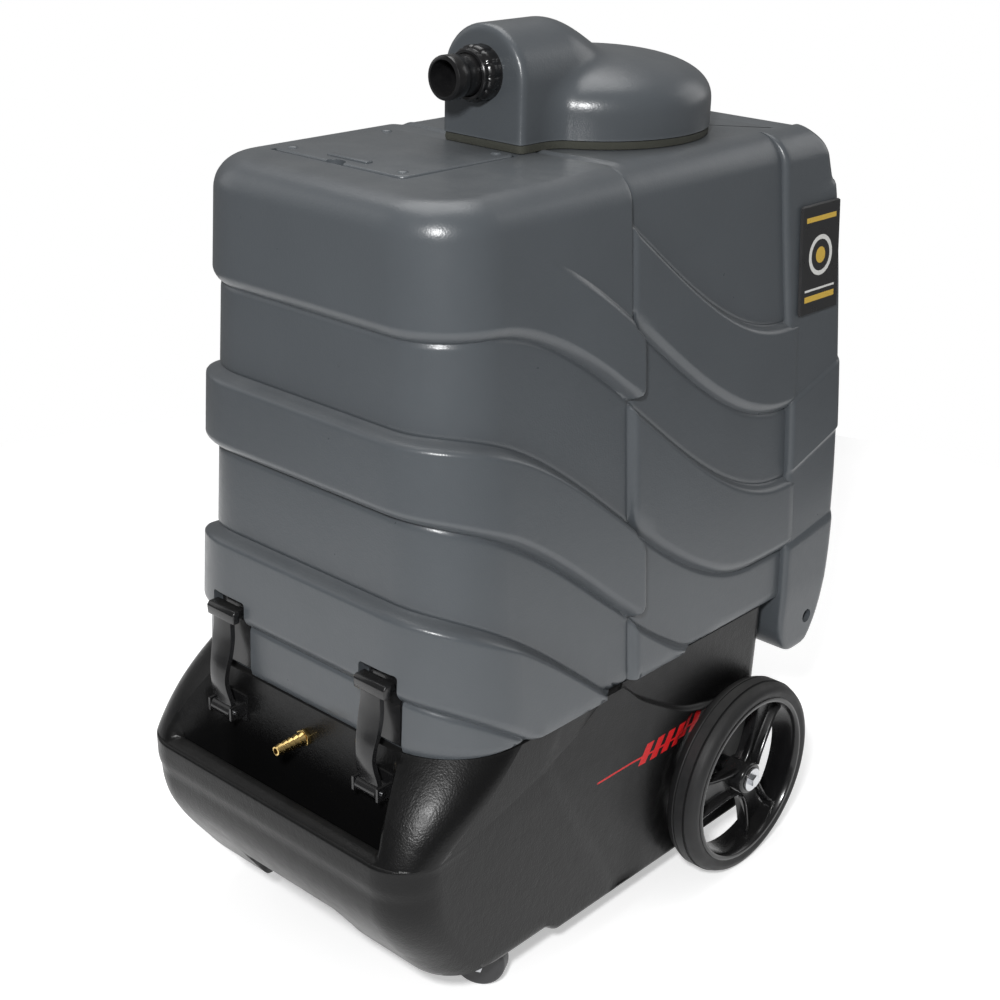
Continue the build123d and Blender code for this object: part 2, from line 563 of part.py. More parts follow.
def hose_barb():
    """Brass hose barb with its threaded root, lock ring and ridges."""
    barb = rod_y(0, FRONT_Y - 6, FRONT_Y + 12, BARB_Z, BARB_SHANK_R)
    barb += extrude(Pos(0, FRONT_Y, BARB_Z) * Rot(90, 0, 0) * RegularPolygon(10, 6), amount=6)
    y = FRONT_Y - 6
    for i in range(5):
        y0 = y - 7.5 * i
        ridge = Pos(0, y0 - 3.75, BARB_Z) * Rot(90, 0, 0) * Cone(7.6 - 0.35 * i, 5.4, 7.5)
        barb += ridge
    return barb - rod_y(0, FRONT_Y - 60, FRONT_Y + 20, BARB_Z, 3.5)


def front_foot():
    """Small moulded tie-down block under the middle of the front lip."""
    return box(-22, 22, FRONT_Y - 12, FRONT_Y + 30, TUNNEL_Z - 14, TUNNEL_Z)


# ---- rear panel and its controls ----

SWITCH_XS = (-66.0, -38.0, -10.0, 18.0)
SWITCH_Z = PANEL_Z - 34.0
GAUGE_X, GAUGE_Z, GAUGE_R = -48.0, PANEL_Z + 38.0, 26.0
KNOB_X, KNOB_Z = 24.0, PANEL_Z + 38.0
OUTLET_X, OUTLET_Z = 74.0, PANEL_Z + 38.0
INLETS = ((62.0, PANEL_Z - 44.0), (-2.0, PANEL_Z + 2.0))


def panel_pieces():
    """Control plate with its screws, gauge, switch bezels, inlets and outlet."""
    y = REAR_Y
    face = y + PANEL_T
    plate = box(-PANEL_W / 2, PANEL_W / 2, y, face, PANEL_Z - PANEL_H / 2, PANEL_Z + PANEL_H / 2)
    half_w, half_h = SWITCH_W / 2 + 1, SWITCH_H / 2 + 2.5
    for x in SWITCH_XS:
        plate += box(x - half_w - 3, x + half_w + 3, face, face + 3, SWITCH_Z - half_h - 3,
                     SWITCH_Z + half_h + 3)
        plate -= box(x - half_w, x + half_w, y - 1, face + 4, SWITCH_Z - half_h, SWITCH_Z + half_h)
    plate -= rod_y(GAUGE_X, y - 1, face + 1, GAUGE_Z, GAUGE_R - 4)
    plate -= rod_y(KNOB_X, y - 1, face + 1, KNOB_Z, 4 + RUN)
    plate -= rod_y(OUTLET_X, y - 1, face + 1, OUTLET_Z, 9)
    for x, z in INLETS:
        plate -= rod_y(x, y - 1, face + 1, z, 14)
    screws = []
    for x in (-PANEL_W / 2 + 7, PANEL_W / 2 - 7):
        for z in (PANEL_Z - PANEL_H / 2 + 7, PANEL_Z, PANEL_Z + PANEL_H / 2 - 7):
            screws.append(rod_y(x, face, face + 2.5, z, 4))
    case = rod_y(GAUGE_X, y - 14, face + 14, GAUGE_Z, GAUGE_R - 4)
    case += rod_y(GAUGE_X, face, face + 14, GAUGE_Z, GAUGE_R)
    case -= rod_y(GAUGE_X, face + 6, face + 20, GAUGE_Z, GAUGE_R - 3)
    case += rod_y(GAUGE_X, face + 6, face + 8.5, GAUGE_Z, 1.5)
    lens = rod_y(GAUGE_X, face + 11.5, face + 13.5, GAUGE_Z, GAUGE_R - 3)
    needle = rod_y(GAUGE_X, face + 7, face + 8.5, GAUGE_Z, 3)
    needle += Pos(GAUGE_X, face + 7.75, GAUGE_Z) * Rot(0, 45, 0) * box(-6, 19, -0.75, 0.75, -0.9, 0.9)
    needle -= rod_y(GAUGE_X, face, face + 9, GAUGE_Z, 1.5 + RUN)
    inlets = []
    for x, z in INLETS:
        body = rod_y(x, y - 12, face + 5, z, 14) + rod_y(x, face, face + 4, z, 19)
        body -= rod_y(x, face - 6, face + 10, z, 11)
        for a in (90, 210, 330):
            body += rod_y(x + 5 * cos(radians(a)), face - 6, face + 3, z + 5 * sin(radians(a)), 1.2)
        inlets.append(body)
    outlet = rod_y(OUTLET_X, y - 20, face + 14, OUTLET_Z, 9)
    outlet += extrude(Pos(OUTLET_X, face, OUTLET_Z) * Rot(-90, 0, 0) * RegularPolygon(13, 6), amount=7)
    outlet += rod_y(OUTLET_X, face + 14, face + 30, OUTLET_Z, 11)
    outlet -= rod_y(OUTLET_X, face - 10, face + 40, OUTLET_Z, 5)
    return plate, screws, case, lens, needle, inlets, outlet


def rocker(x):
    """Rocker key, pressed in at the top when the switch is off."""
    y = REAR_Y + PANEL_T - 4
    w, h = SWITCH_W / 2, SWITCH_H / 2
    key = side_shape([(y - 9, SWITCH_Z - 4), (y - 9, SWITCH_Z + 4), (y, SWITCH_Z + h), (y + 9, SWITCH_Z + h),
                      (y + 6.5, SWITCH_Z), (y + 9, SWITCH_Z - h), (y, SWITCH_Z - h)], x - w, x + w)
    key = Pos(0, y, SWITCH_Z) * Rot(SWITCH_TILT, 0, 0) * Pos(0, -y, -SWITCH_Z) * key
    return key + rod_x(x - w - 0.7, x + w + 0.7, y, SWITCH_Z, SWITCH_PIN_R)


def regulator_knob():
    """Pressure knob with finger scallops, its stem running in the panel."""
    face = REAR_Y + PANEL_T
    knob = rod_y(KNOB_X, face + 1, face + 19, KNOB_Z, 16)
    for i in range(8):
        a = radians(45 * i)
        knob -= rod_y(KNOB_X + 18 * cos(a), face + 4, face + 20, KNOB_Z + 18 * sin(a), 4)
    return knob + rod_y(KNOB_X, REAR_Y - 10, face + 1, KNOB_Z, 4)


# ---- works inside the base ----

def works():
    """Vacuum motors, deck, pump, heater, air duct, its seal and the wiring box."""
    deck_z = BASE_FLOOR_Z + WALL
    deck = box(-SIDE_X + 32, SIDE_X - 32, AXLE_Y - 200, AXLE_Y - 30, deck_z, deck_z + 6)
    motors = []
    motor_y, top = AXLE_Y - 115, deck_z + 176
    for x in (-92, 92):
        can = rod_z(x, motor_y, deck_z + 6, deck_z + 96, 52) + rod_z(x, motor_y, deck_z + 96, top, 72)
        motors.append(can - rod_z(x, motor_y, top - 12, top + 1, 24))
    duct = box(-140, 140, motor_y - 45, motor_y + 45, top, top + 44)
    duct += rod_z(PIPE_X, PIPE_Y, top + 44, SEAM_Z - 10, PIPE_R + 5)
    duct -= box(-135, 135, motor_y - 40, motor_y + 40, top + 5, top + 39)
    for x in (-92, 92):
        duct -= rod_z(x, motor_y, top - 1, top + 6, 24)
    duct -= rod_z(PIPE_X, PIPE_Y, top + 30, SEAM_Z + 10, PIPE_R)
    seal = rod_z(PIPE_X, PIPE_Y, SEAM_Z - 10, TANK_Z - 0.3, PIPE_R + 9)
    seal -= rod_z(PIPE_X, PIPE_Y, SEAM_Z - 20, SEAM_Z + 10, PIPE_R)
    pump_y = FRONT_Y + 238
    pump = rod_x(-SIDE_X + 27, -70, pump_y, deck_z + 62, 42) + box(-70, -4, pump_y - 38, pump_y + 38,
                                                           deck_z + 22, deck_z + 106)
    pump += box(-SIDE_X + 42, -90, pump_y - 30, pump_y + 30, deck_z, deck_z + 24)
    heater = box(20, SIDE_X - 27, pump_y - 40, pump_y + 40, deck_z, deck_z + 70)
    for i in range(4):
        heater += rod_y(45 + 40 * i, pump_y - 50, pump_y - 40, deck_z + 35, 9)
    wiring = box(SIDE_X - 99, SIDE_X - 25, REAR_Y - 60, REAR_Y - WALL - 2, PANEL_Z - 20, PANEL_Z + 90)
    return deck, motors, duct, seal, pump, heater, wiring


# ---- pieces of the tank ----

def push_bar():
    """Tube between the wings for pushing and tipping the machine."""
    seat = WING_INNER_X + PUSH_SEAT
    bar = rod_x(-seat, seat, BAR_Y, BAR_GRIP_Z, PUSH_R)
    return bar - rod_x(-seat - 1, seat + 1, BAR_Y, BAR_GRIP_Z, PUSH_R - 3)


def drain_valve():
    """Slide valve on the tank's back wall: housing with outlet, and its sliding gate."""
    y = BACK_Y
    housing = rod_y(0, y, y + 30, VALVE_Z, 36) + rod_y(0, y + 30, y + 62, VALVE_Z, VALVE_BORE_R + 4)
    housing += rod_y(0, y - WALL, y, VALVE_Z, VALVE_BORE_R)
    housing += box(0, 62, y + 8, y + 22, VALVE_Z - 28, VALVE_Z + 28)
    housing -= rod_y(0, y - 20, y + 80, VALVE_Z, VALVE_BORE_R - 3)
    housing -= box(-30, 70, y + 12.5, y + 17.5, VALVE_Z - 24.5, VALVE_Z + 24.5)
    gate = box(-29, 88, y + 13, y + 17, VALVE_Z - 24, VALVE_Z + 24)
    gate -= box(62, 90, y + 12, y + 18, VALVE_Z + 8, VALVE_Z + 30)
    gate -= box(62, 90, y + 12, y + 18, VALVE_Z - 30, VALVE_Z - 8)
    gate += rod_z(84, y + 15, VALVE_Z - 26, VALVE_Z + 26, 8)
    return housing, gate


def air_pipe():
    """Upright pipe from the tank floor, the float cage on top and the ball in it."""
    top = TANK_TOP - PIPE_TOP_DROP - 60
    pipe = rod_z(PIPE_X, PIPE_Y, TANK_Z, top, PIPE_R)
    pipe -= rod_z(PIPE_X, PIPE_Y, TANK_Z - 1, top + 1, PIPE_R - PIPE_WALL)
    cage = rod_z(PIPE_X, PIPE_Y, top, top + 60, PIPE_R + 4)
    cage -= rod_z(PIPE_X, PIPE_Y, top - 1, top + 55, PIPE_R)
    cage += rod_z(PIPE_X, PIPE_Y, top, top + 3, PIPE_R + 1)
    cage -= rod_z(PIPE_X, PIPE_Y, top - 1, top + 5, PIPE_R - 8)
    cage -= rod_z(PIPE_X, PIPE_Y, top + 50, top + 61, 10)
    for i in range(3):
        slot = box(12, 40, -9, 9, top + 8, top + 48)
        cage -= Pos(PIPE_X, PIPE_Y, 0) * Rot(0, 0, 120 * i) * slot
    seat_r = PIPE_R - 8
    seat_height = (BALL_R ** 2 - seat_r ** 2) ** 0.5
    ball = Pos(PIPE_X, PIPE_Y, top + 3 + seat_height + 0.3) * Sphere(BALL_R)
    return pipe, cage, ball


def fill_lid():
    """Flush lift-out lid over the clean-water chamber, with its finger notch."""
    lid = box(FILL_X0, FILL_X1, FILL_Y0, FILL_Y1, TANK_TOP - FILL_T, TANK_TOP)
    mid = (FILL_X0 + FILL_X1) / 2
    rim = FILL_LEDGE + FILL_CLEAR
    lid += box(FILL_X0 + rim, FILL_X1 - rim, FILL_Y0 + rim, FILL_Y1 - rim,
               TANK_TOP - FILL_T - 5, TANK_TOP - FILL_T)
    lid -= box(mid - 14, mid + 14, FILL_Y0 - 1, FILL_Y0 + 9, TANK_TOP - FILL_T - 1, TANK_TOP + 1)
    return lid


def hood_arch(half, rise, y0, y1, z0):
    """Arched tunnel block along Y: straight sides under a half-round top."""
    spring = TANK_TOP + rise - half
    return box(-half, half, y0, y1, z0, spring) + rod_y(0, y0, y1, spring, half)


def dome_form(grow):
    """Solid form of the dome and its inlet hood, shrunk by -grow."""
    g = grow
    z0 = TANK_TOP + GASKET_T
    top = TANK_TOP + DOME_TOP_RISE + g
    r = DOME_R + g
    profile = make_face(Polyline((0, 0, z0), (r, 0, z0), (r, 0, z0 + 30), (r - 7, 0, z0 + 47),
                                 (r - 26, 0, z0 + 62), (r - 62, 0, top - 8), (r - 98, 0, top - 2),
                                 (0, 0, top), close=True))
    dome = Pos(0, DOME_Y, 0) * revolve(profile, Axis.Z)
    hood = hood_arch(HOOD_HALF + g, HOOD_RISE + g, HOOD_FRONT_Y - g, HOOD_END_Y, z0)
    hood &= side_shape([(HOOD_FRONT_Y - g, z0), (HOOD_FRONT_Y - g, TANK_TOP + HOOD_RISE + g),
                        (HOOD_RIDGE_Y, TANK_TOP + HOOD_RISE + g), (HOOD_END_Y, top - 1),
                        (HOOD_END_Y, z0)], -HOOD_HALF - 5, HOOD_HALF + 5)
    return dome + hood


def dome_lid():
    """Lift-off dome over the waste-water chamber, hollow below, with the inlet opening."""
    lid = dome_form(0) - (dome_form(-LID_WALL) + Pos(0, 0, -LID_WALL) * dome_form(-LID_WALL))
    return lid - rod_y(0, HOOD_FRONT_Y - 5, HOOD_FRONT_Y + 20, TANK_TOP + INLET_RISE, INLET_SEAT_R)


def lid_gasket():
    """Foam gasket between tank and dome, following the dome and hood outline."""
    z0, z1 = TANK_TOP, TANK_TOP + GASKET_T - 0.5
    outer = rod_z(0, DOME_Y, z0, z1, DOME_R - 1) + box(-HOOD_HALF + 1, HOOD_HALF - 1, HOOD_FRONT_Y + 1,
                                                       DOME_Y, z0, z1)
    inner = rod_z(0, DOME_Y, z0 - 1, z1 + 1, DOME_R - 14)
    inner += box(-HOOD_HALF + 14, HOOD_HALF - 14, HOOD_FRONT_Y + 14, DOME_Y, z0 - 1, z1 + 1)
    return outer - inner


def inlet_pieces():
    """Hose tube through the hood and the collar that clamps it."""
    z = TANK_TOP + INLET_RISE
    y0 = HOOD_FRONT_Y
    tube = rod_y(0, y0 - INLET_LENGTH, y0 - 25, z, INLET_R)
    tube += rod_y(0, y0 - 25, y0 + 26, z, INLET_SEAT_R)
    tube -= rod_y(0, y0 - INLET_LENGTH - 1, y0 + 30, z, INLET_BORE_R)
    collar = rod_y(0, y0 - 24, y0, z, INLET_COLLAR_R)
    for i in range(12):
        a = radians(30 * i)
        collar -= rod_y((INLET_COLLAR_R + 1) * cos(a), y0 - 25, y0 - 7, z + (INLET_COLLAR_R + 1) * sin(a), 3)
    return tube, collar - rod_y(0, y0 - 30, y0 + 5, z, INLET_SEAT_R)


def side_labels():
    """Plain data plates on the outer faces of the wings."""
    z = TANK_TOP - 150.0
    half = tank_half(z, 4.0)
    tilt = TANK_DRAFT / TANK_HEIGHT * 57.3
    plates = []
    for side in (-1, 1):
        plate = Box(1.2, 74, 126)
        plates.append(Pos(side * (half + 0.6), WING_REAR_Y - 68, z) * Rot(0, -side * tilt, 0) * plate)
    return plates


def build():
    """Write every node."""
    save("base_tub", base_tub())
    save("tank_shell", tank_shell())
    plates, screws, axle = [], [], axle_pieces()
    for side, word in ((-1, "left"), (1, "right")):
        plate, plate_screws, fork, small = caster_pieces(side)
        plates.append(plate)
        screws += plate_screws
        save(f"caster_fork_{word}", fork)
        save(f"caster_wheel_{word}", small)
        tyre, rim, bush = rear_wheel(side)
        save(f"tyre_{word}", tyre)
        save(f"wheel_rim_{word}", rim)
        save(f"hub_bush_{word}", bush)
        save(f"latch_{word}", latch(side * LATCH_X))
    save("caster_plates", plates)
    save("caster_screws", screws)
    save("axle", axle[0])
    save("axle_washers", axle[1])
    save("axle_bolts", axle[2])
    mounts = [latch_mounts(x) for x in (-LATCH_X, LATCH_X)]
    save("latch_brackets", [m[0] for m in mounts])
    save("latch_pins", [m[1] for m in mounts])
    save("latch_keepers", [m[2] for m in mounts])
    brackets, bracket_screws, rod = hinge_pieces()
    save("hinge_brackets", brackets)
    save("bracket_screws", bracket_screws)
    save("hinge_rod", rod)
    save("hinge_bushes", hinge_bushes())
    save("hose_barb", hose_barb())
    save("front_foot", front_foot())
    names = ("rear_panel", "panel_screws", "gauge_case", "gauge_lens", "gauge_needle", "power_inlets",
             "solution_outlet")
    for name, piece in zip(names, panel_pieces()):
        save(name, piece)
    for i, x in enumerate(SWITCH_XS, 1):
        save(f"switch_{i}", rocker(x))
    save("regulator_knob", regulator_knob())
    names = ("motor_deck", "vacuum_motors", "air_duct", "duct_seal", "pump", "heater", "wiring_box")
    for name, piece in zip(names, works()):
        save(name, piece)
    save("push_bar", push_bar())
    housing, gate = drain_valve()
    save("valve_housing", housing)
    save("valve_gate", gate)
    pipe, cage, ball = air_pipe()
    save("air_pipe", pipe)
    save("float_cage", cage)
    save("float_ball", ball)
    save("fill_lid", fill_lid())
    save("dome_lid", dome_lid())
    save("lid_gasket", lid_gasket())
    tube, collar = inlet_pieces()
    save("inlet_tube", tube)
    save("inlet_collar", collar)
    save("side_labels", side_labels())


build()
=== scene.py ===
"""Finished looks of the portable carpet cleaning machine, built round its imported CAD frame.

Everything is in metres in the CAD frame: +Z up, the grip bar at -Y, the big wheels at +Y.
"""

import json
import logging
import math
from dataclasses import dataclass, field
from enum import Enum
from typing import Callable, NamedTuple, Sequence

import bmesh
import bpy
from mathutils import Matrix, Vector

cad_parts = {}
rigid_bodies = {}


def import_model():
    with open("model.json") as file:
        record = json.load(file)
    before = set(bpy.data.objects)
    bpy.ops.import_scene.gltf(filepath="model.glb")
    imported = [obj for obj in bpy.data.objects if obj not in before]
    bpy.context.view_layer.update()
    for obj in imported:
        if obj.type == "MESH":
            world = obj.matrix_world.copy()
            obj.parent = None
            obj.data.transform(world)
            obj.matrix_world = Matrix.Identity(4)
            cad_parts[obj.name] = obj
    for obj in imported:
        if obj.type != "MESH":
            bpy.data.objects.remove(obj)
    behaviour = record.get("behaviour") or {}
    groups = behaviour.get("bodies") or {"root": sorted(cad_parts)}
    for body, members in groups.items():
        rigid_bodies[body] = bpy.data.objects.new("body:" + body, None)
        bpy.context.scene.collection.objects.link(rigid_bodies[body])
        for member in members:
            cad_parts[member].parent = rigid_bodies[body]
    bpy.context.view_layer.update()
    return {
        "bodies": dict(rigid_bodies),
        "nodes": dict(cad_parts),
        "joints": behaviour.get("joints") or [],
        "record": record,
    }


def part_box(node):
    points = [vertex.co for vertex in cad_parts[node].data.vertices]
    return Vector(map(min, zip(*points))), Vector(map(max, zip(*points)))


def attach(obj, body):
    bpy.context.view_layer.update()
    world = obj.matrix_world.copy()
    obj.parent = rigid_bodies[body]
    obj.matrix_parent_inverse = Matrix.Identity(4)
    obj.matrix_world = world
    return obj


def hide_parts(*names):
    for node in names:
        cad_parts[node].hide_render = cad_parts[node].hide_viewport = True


WELD = 1e-5
SHARP = math.radians(38)
CREASE = math.radians(50)
QUARTER = math.pi / 2
log = logging.getLogger("carpet_cleaner")
Colour = tuple[float, float, float]
DUST: Colour = (0.42, 0.41, 0.39)
COAT_ROUGH = 0.12


def clamp(value: float, low: float = 0.0, high: float = 1.0) -> float:
    """The value, kept between two limits."""
    return min(max(value, low), high)


def ease(t: float) -> float:
    """A smooth step from 0 to 1 as t goes from 0 to 1."""
    t = clamp(t)
    return t * t * (3 - 2 * t)


def mix(a: float, b: float, t: float) -> float:
    """The value a share t of the way from a to b."""
    return a + (b - a) * t


def spread(low: float, high: float, count: int) -> list[float]:
    """Evenly spaced values from low to high, both included."""
    return [mix(low, high, i / (count - 1)) for i in range(count)]


def swell(t: float) -> float:
    """A quarter sine from 0 to 1 as t goes from 0 to 1."""
    return math.sin(clamp(t) * QUARTER)


def bell(t: float) -> float:
    """A soft bump: 1 where t is 0, and nearly 0 beyond 2 on either side."""
    return math.exp(-(t ** 2))


def curve(table: Sequence[tuple[float, float]], x: float) -> float:
    """A smooth curve through the points of a table.

    Args:
        table: (x, y) points in rising order of x.
        x: Where to read the curve; it stays level beyond the ends.

    Returns:
        The height of the curve.
    """
    if x <= table[0][0]:
        return table[0][1]
    if x >= table[-1][0]:
        return table[-1][1]
    k = max(i for i, point in enumerate(table) if point[0] <= x)
    k = min(k, len(table) - 2)

    def slope(i: int) -> float:
        """Slope of the curve at one of the table's points."""
        a, b = table[max(i - 1, 0)], table[min(i + 1, len(table) - 1)]
        return (b[1] - a[1]) / (b[0] - a[0])

    (x0, y0), (x1, y1) = table[k], table[k + 1]
    width = x1 - x0
    t = (x - x0) / width
    rise = t * t * (3 - 2 * t)
    return mix(y0, y1, rise) + width * (
        (t ** 3 - 2 * t * t + t) * slope(k) + (t ** 3 - t * t) * slope(k + 1))


# ---- mesh helpers ----

def weld(bm: bmesh.types.BMesh) -> None:
    """Join doubled points, drop collapsed faces and turn every face outwards.

    Args:
        bm: The mesh to clean.
    """
    bmesh.ops.remove_doubles(bm, verts=bm.verts, dist=WELD)
    bmesh.ops.dissolve_degenerate(bm, edges=bm.edges, dist=WELD)
    bmesh.ops.recalc_face_normals(bm, faces=bm.faces)


def cap(bm: bmesh.types.BMesh) -> None:
    """Close every open rim.

    Args:
        bm: The mesh to close.
    """
    rims = [e for e in bm.edges if e.is_boundary]
    if rims:
        bmesh.ops.holes_fill(bm, edges=rims, sides=0)
    bmesh.ops.recalc_face_normals(bm, faces=bm.faces)


def sheet(columns: int, rows: int, place: Callable[[int, int], Vector]) -> bmesh.types.BMesh:
    """A grid whose points are carried to their places.

    Args:
        columns: Number of points across.
        rows: Number of points up.
        place: Gives the place of the point in a column and row.

    Returns:
        The welded mesh.
    """
    bm = bmesh.new()
    bmesh.ops.create_grid(bm, x_segments=columns - 1, y_segments=rows - 1, size=1.0)
    for vert in bm.verts:
        column = round((vert.co.x + 1) / 2 * (columns - 1))
        row = round((vert.co.y + 1) / 2 * (rows - 1))
        vert.co = place(column, row)
    weld(bm)
    return bm


def turned(outline: Sequence[tuple[float, float]], origin: Vector, axis: Vector,
           steps: int = 72, closed: bool = True) -> bmesh.types.BMesh:
    """Spin an outline round an axis.

    Args:
        outline: (radius, distance along the axis) points.
        origin: A point on the axis.
        axis: Direction of the axis.
        steps: Steps in the full turn.
        closed: Whether the outline's last point joins its first.

    Returns:
        The spun mesh.
    """
    bm = bmesh.new()
    across = axis.orthogonal().normalized()
    verts = [bm.verts.new(origin + across * r + axis * d) for r, d in outline]
    pairs = zip(verts, verts[1:] + verts[:1]) if closed else zip(verts, verts[1:])
    edges = [bm.edges.new(pair) for pair in pairs]
    bmesh.ops.spin(bm, geom=verts + edges, cent=origin, axis=axis, angle=math.tau,
                   steps=steps, use_merge=True, use_duplicate=False)
    weld(bm)
    return bm


def drum(radius: float, start: float, stop: float, origin: Vector, axis: Vector,
         steps: int = 72) -> bmesh.types.BMesh:
    """A solid cylinder between two distances along an axis."""
    outline = [(0, start), (radius, start), (radius, stop), (0, stop)]
    return turned(outline, origin, axis, steps, closed=False)


def soften(bm: bmesh.types.BMesh, width: float, segments: int = 3, limit: float = 0.5) -> None:
    """Round the edges that turn by more than a limit angle.

    Args:
        bm: The mesh to round.
        width: Width of the rounding.
        segments: Faces across each rounding.
        limit: Smallest angle that is rounded.
    """
    edges = [e for e in bm.edges if len(e.link_faces) == 2 and e.calc_face_angle(0.0) > limit]
    bmesh.ops.bevel(bm, geom=edges, offset=width, segments=segments, profile=0.5,
                    affect="EDGES", material=-1, clamp_overlap=True)
    weld(bm)


def slab(outline: Sequence[Vector], along: Vector, width: float, segments: int = 3) -> bmesh.types.BMesh:
    """A flat outline pulled out along a vector, with rounded edges.

    Args:
        outline: Corners of the outline, in order.
        along: How far and which way it is pulled.
        width: Width of the edge rounding.
        segments: Faces across each rounding.

    Returns:
        The closed mesh.
    """
    bm = bmesh.new()
    face = bm.faces.new([bm.verts.new(p) for p in outline])
    made = bmesh.ops.extrude_face_region(bm, geom=[face])["geom"]
    bmesh.ops.translate(bm, vec=along, verts=[g for g in made if isinstance(g, bmesh.types.BMVert)])
    cap(bm)
    soften(bm, width, segments)
    return bm


def block(low: Vector, high: Vector, width: float, segments: int = 3) -> bmesh.types.BMesh:
    """A box between two corners with rounded edges.

    Args:
        low: Its lowest corner.
        high: Its highest corner.
        width: Width of the edge rounding, or 0 for none.
        segments: Faces across each rounding.

    Returns:
        The closed mesh.
    """
    bm = bmesh.new()
    bmesh.ops.create_cube(bm, size=1.0)
    for vert in bm.verts:
        vert.co = Vector([mix(low[k], high[k], vert.co[k] + 0.5) for k in range(3)])
    if width:
        soften(bm, width, segments)
    return bm


def merged(*meshes: bmesh.types.BMesh) -> bmesh.types.BMesh:
    """Several meshes as one.

    Args:
        meshes: The meshes to join; all but the first are freed.

    Returns:
        The first mesh, with all the rest.
    """
    first = meshes[0]
    for other in meshes[1:]:
        scratch = bpy.data.meshes.new("scratch")
        other.to_mesh(scratch)
        first.from_mesh(scratch)
        bpy.data.meshes.remove(scratch)
        other.free()
    return first


def loose_object(name: str, bm: bmesh.types.BMesh) -> bpy.types.Object:
    """A mesh as an object in the scene.

    Args:
        name: The object's name.
        bm: Its mesh, which is freed.

    Returns:
        The new object.
    """
    mesh = bpy.data.meshes.new(name)
    bm.to_mesh(mesh)
    bm.free()
    obj = bpy.data.objects.new(name, mesh)
    bpy.context.scene.collection.objects.link(obj)
    return obj


def carve(bm: bmesh.types.BMesh, cutters: Sequence[bmesh.types.BMesh]) -> bmesh.types.BMesh:
    """Cut shapes out of a mesh.

    Args:
        bm: The closed mesh to cut.
        cutters: Closed meshes to take away from it.

    Returns:
        The cut mesh.
    """
    body = loose_object("body", bm)
    tools = [loose_object(f"tool_{i}", c) for i, c in enumerate(cutters)]
    for tool in tools:
        cut = body.modifiers.new("cut", "BOOLEAN")
        cut.operation, cut.solver, cut.object = "DIFFERENCE", "MANIFOLD", tool
    bpy.context.view_layer.update()
    done = bpy.data.meshes.new_from_object(body.evaluated_get(bpy.context.evaluated_depsgraph_get()))
    out = bmesh.new()
    out.from_mesh(done)
    for obj in [body, *tools]:
        old = obj.data
        bpy.data.objects.remove(obj)
        bpy.data.meshes.remove(old)
    bpy.data.meshes.remove(done)
    return out


def piece(name: str, bm: bmesh.types.BMesh, body: str, finish: "Finish",
          stands_for: Sequence[str] = (), sharp: float = SHARP) -> bpy.types.Object:
    """Put a finished mesh in the scene as one named piece.

    Args:
        name: The piece's name.
        bm: Its mesh, in place.
        body: The CAD body it moves with.
        finish: What it is made of.
        stands_for: CAD nodes that it replaces.
        sharp: Edges that turn by more than this stay crisp.

    Returns:
        The new object.
    """
    for face in bm.faces:
        face.smooth = True
    for edge in bm.edges:
        edge.smooth = len(edge.link_faces) != 2 or edge.calc_face_angle(0.0) < sharp
    obj = loose_object(name, bm)
    obj.data.materials.append(finish.material())
    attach(obj, body)
    if stands_for:
        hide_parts(*stands_for)
    log.info("%s: %d faces on %s", name, len(obj.data.polygons), body)
    return obj


# ---- shared effects ----

def group_tree(name: str, inputs: dict[str, float], outputs: Sequence[str]) -> tuple:
    """A new shader group with float sockets.

    Args:
        name: The group's name.
        inputs: Names and defaults of its inputs.
        outputs: Names of its outputs.

    Returns:
        The tree, its input node and its output node.
    """
    tree = bpy.data.node_groups.new(name, "ShaderNodeTree")
    for key, value in inputs.items():
        tree.interface.new_socket(key, in_out="INPUT", socket_type="NodeSocketFloat").default_value = value
    for key in outputs:
        tree.interface.new_socket(key, in_out="OUTPUT", socket_type="NodeSocketFloat")
    return tree, tree.nodes.new("NodeGroupInput"), tree.nodes.new("NodeGroupOutput")


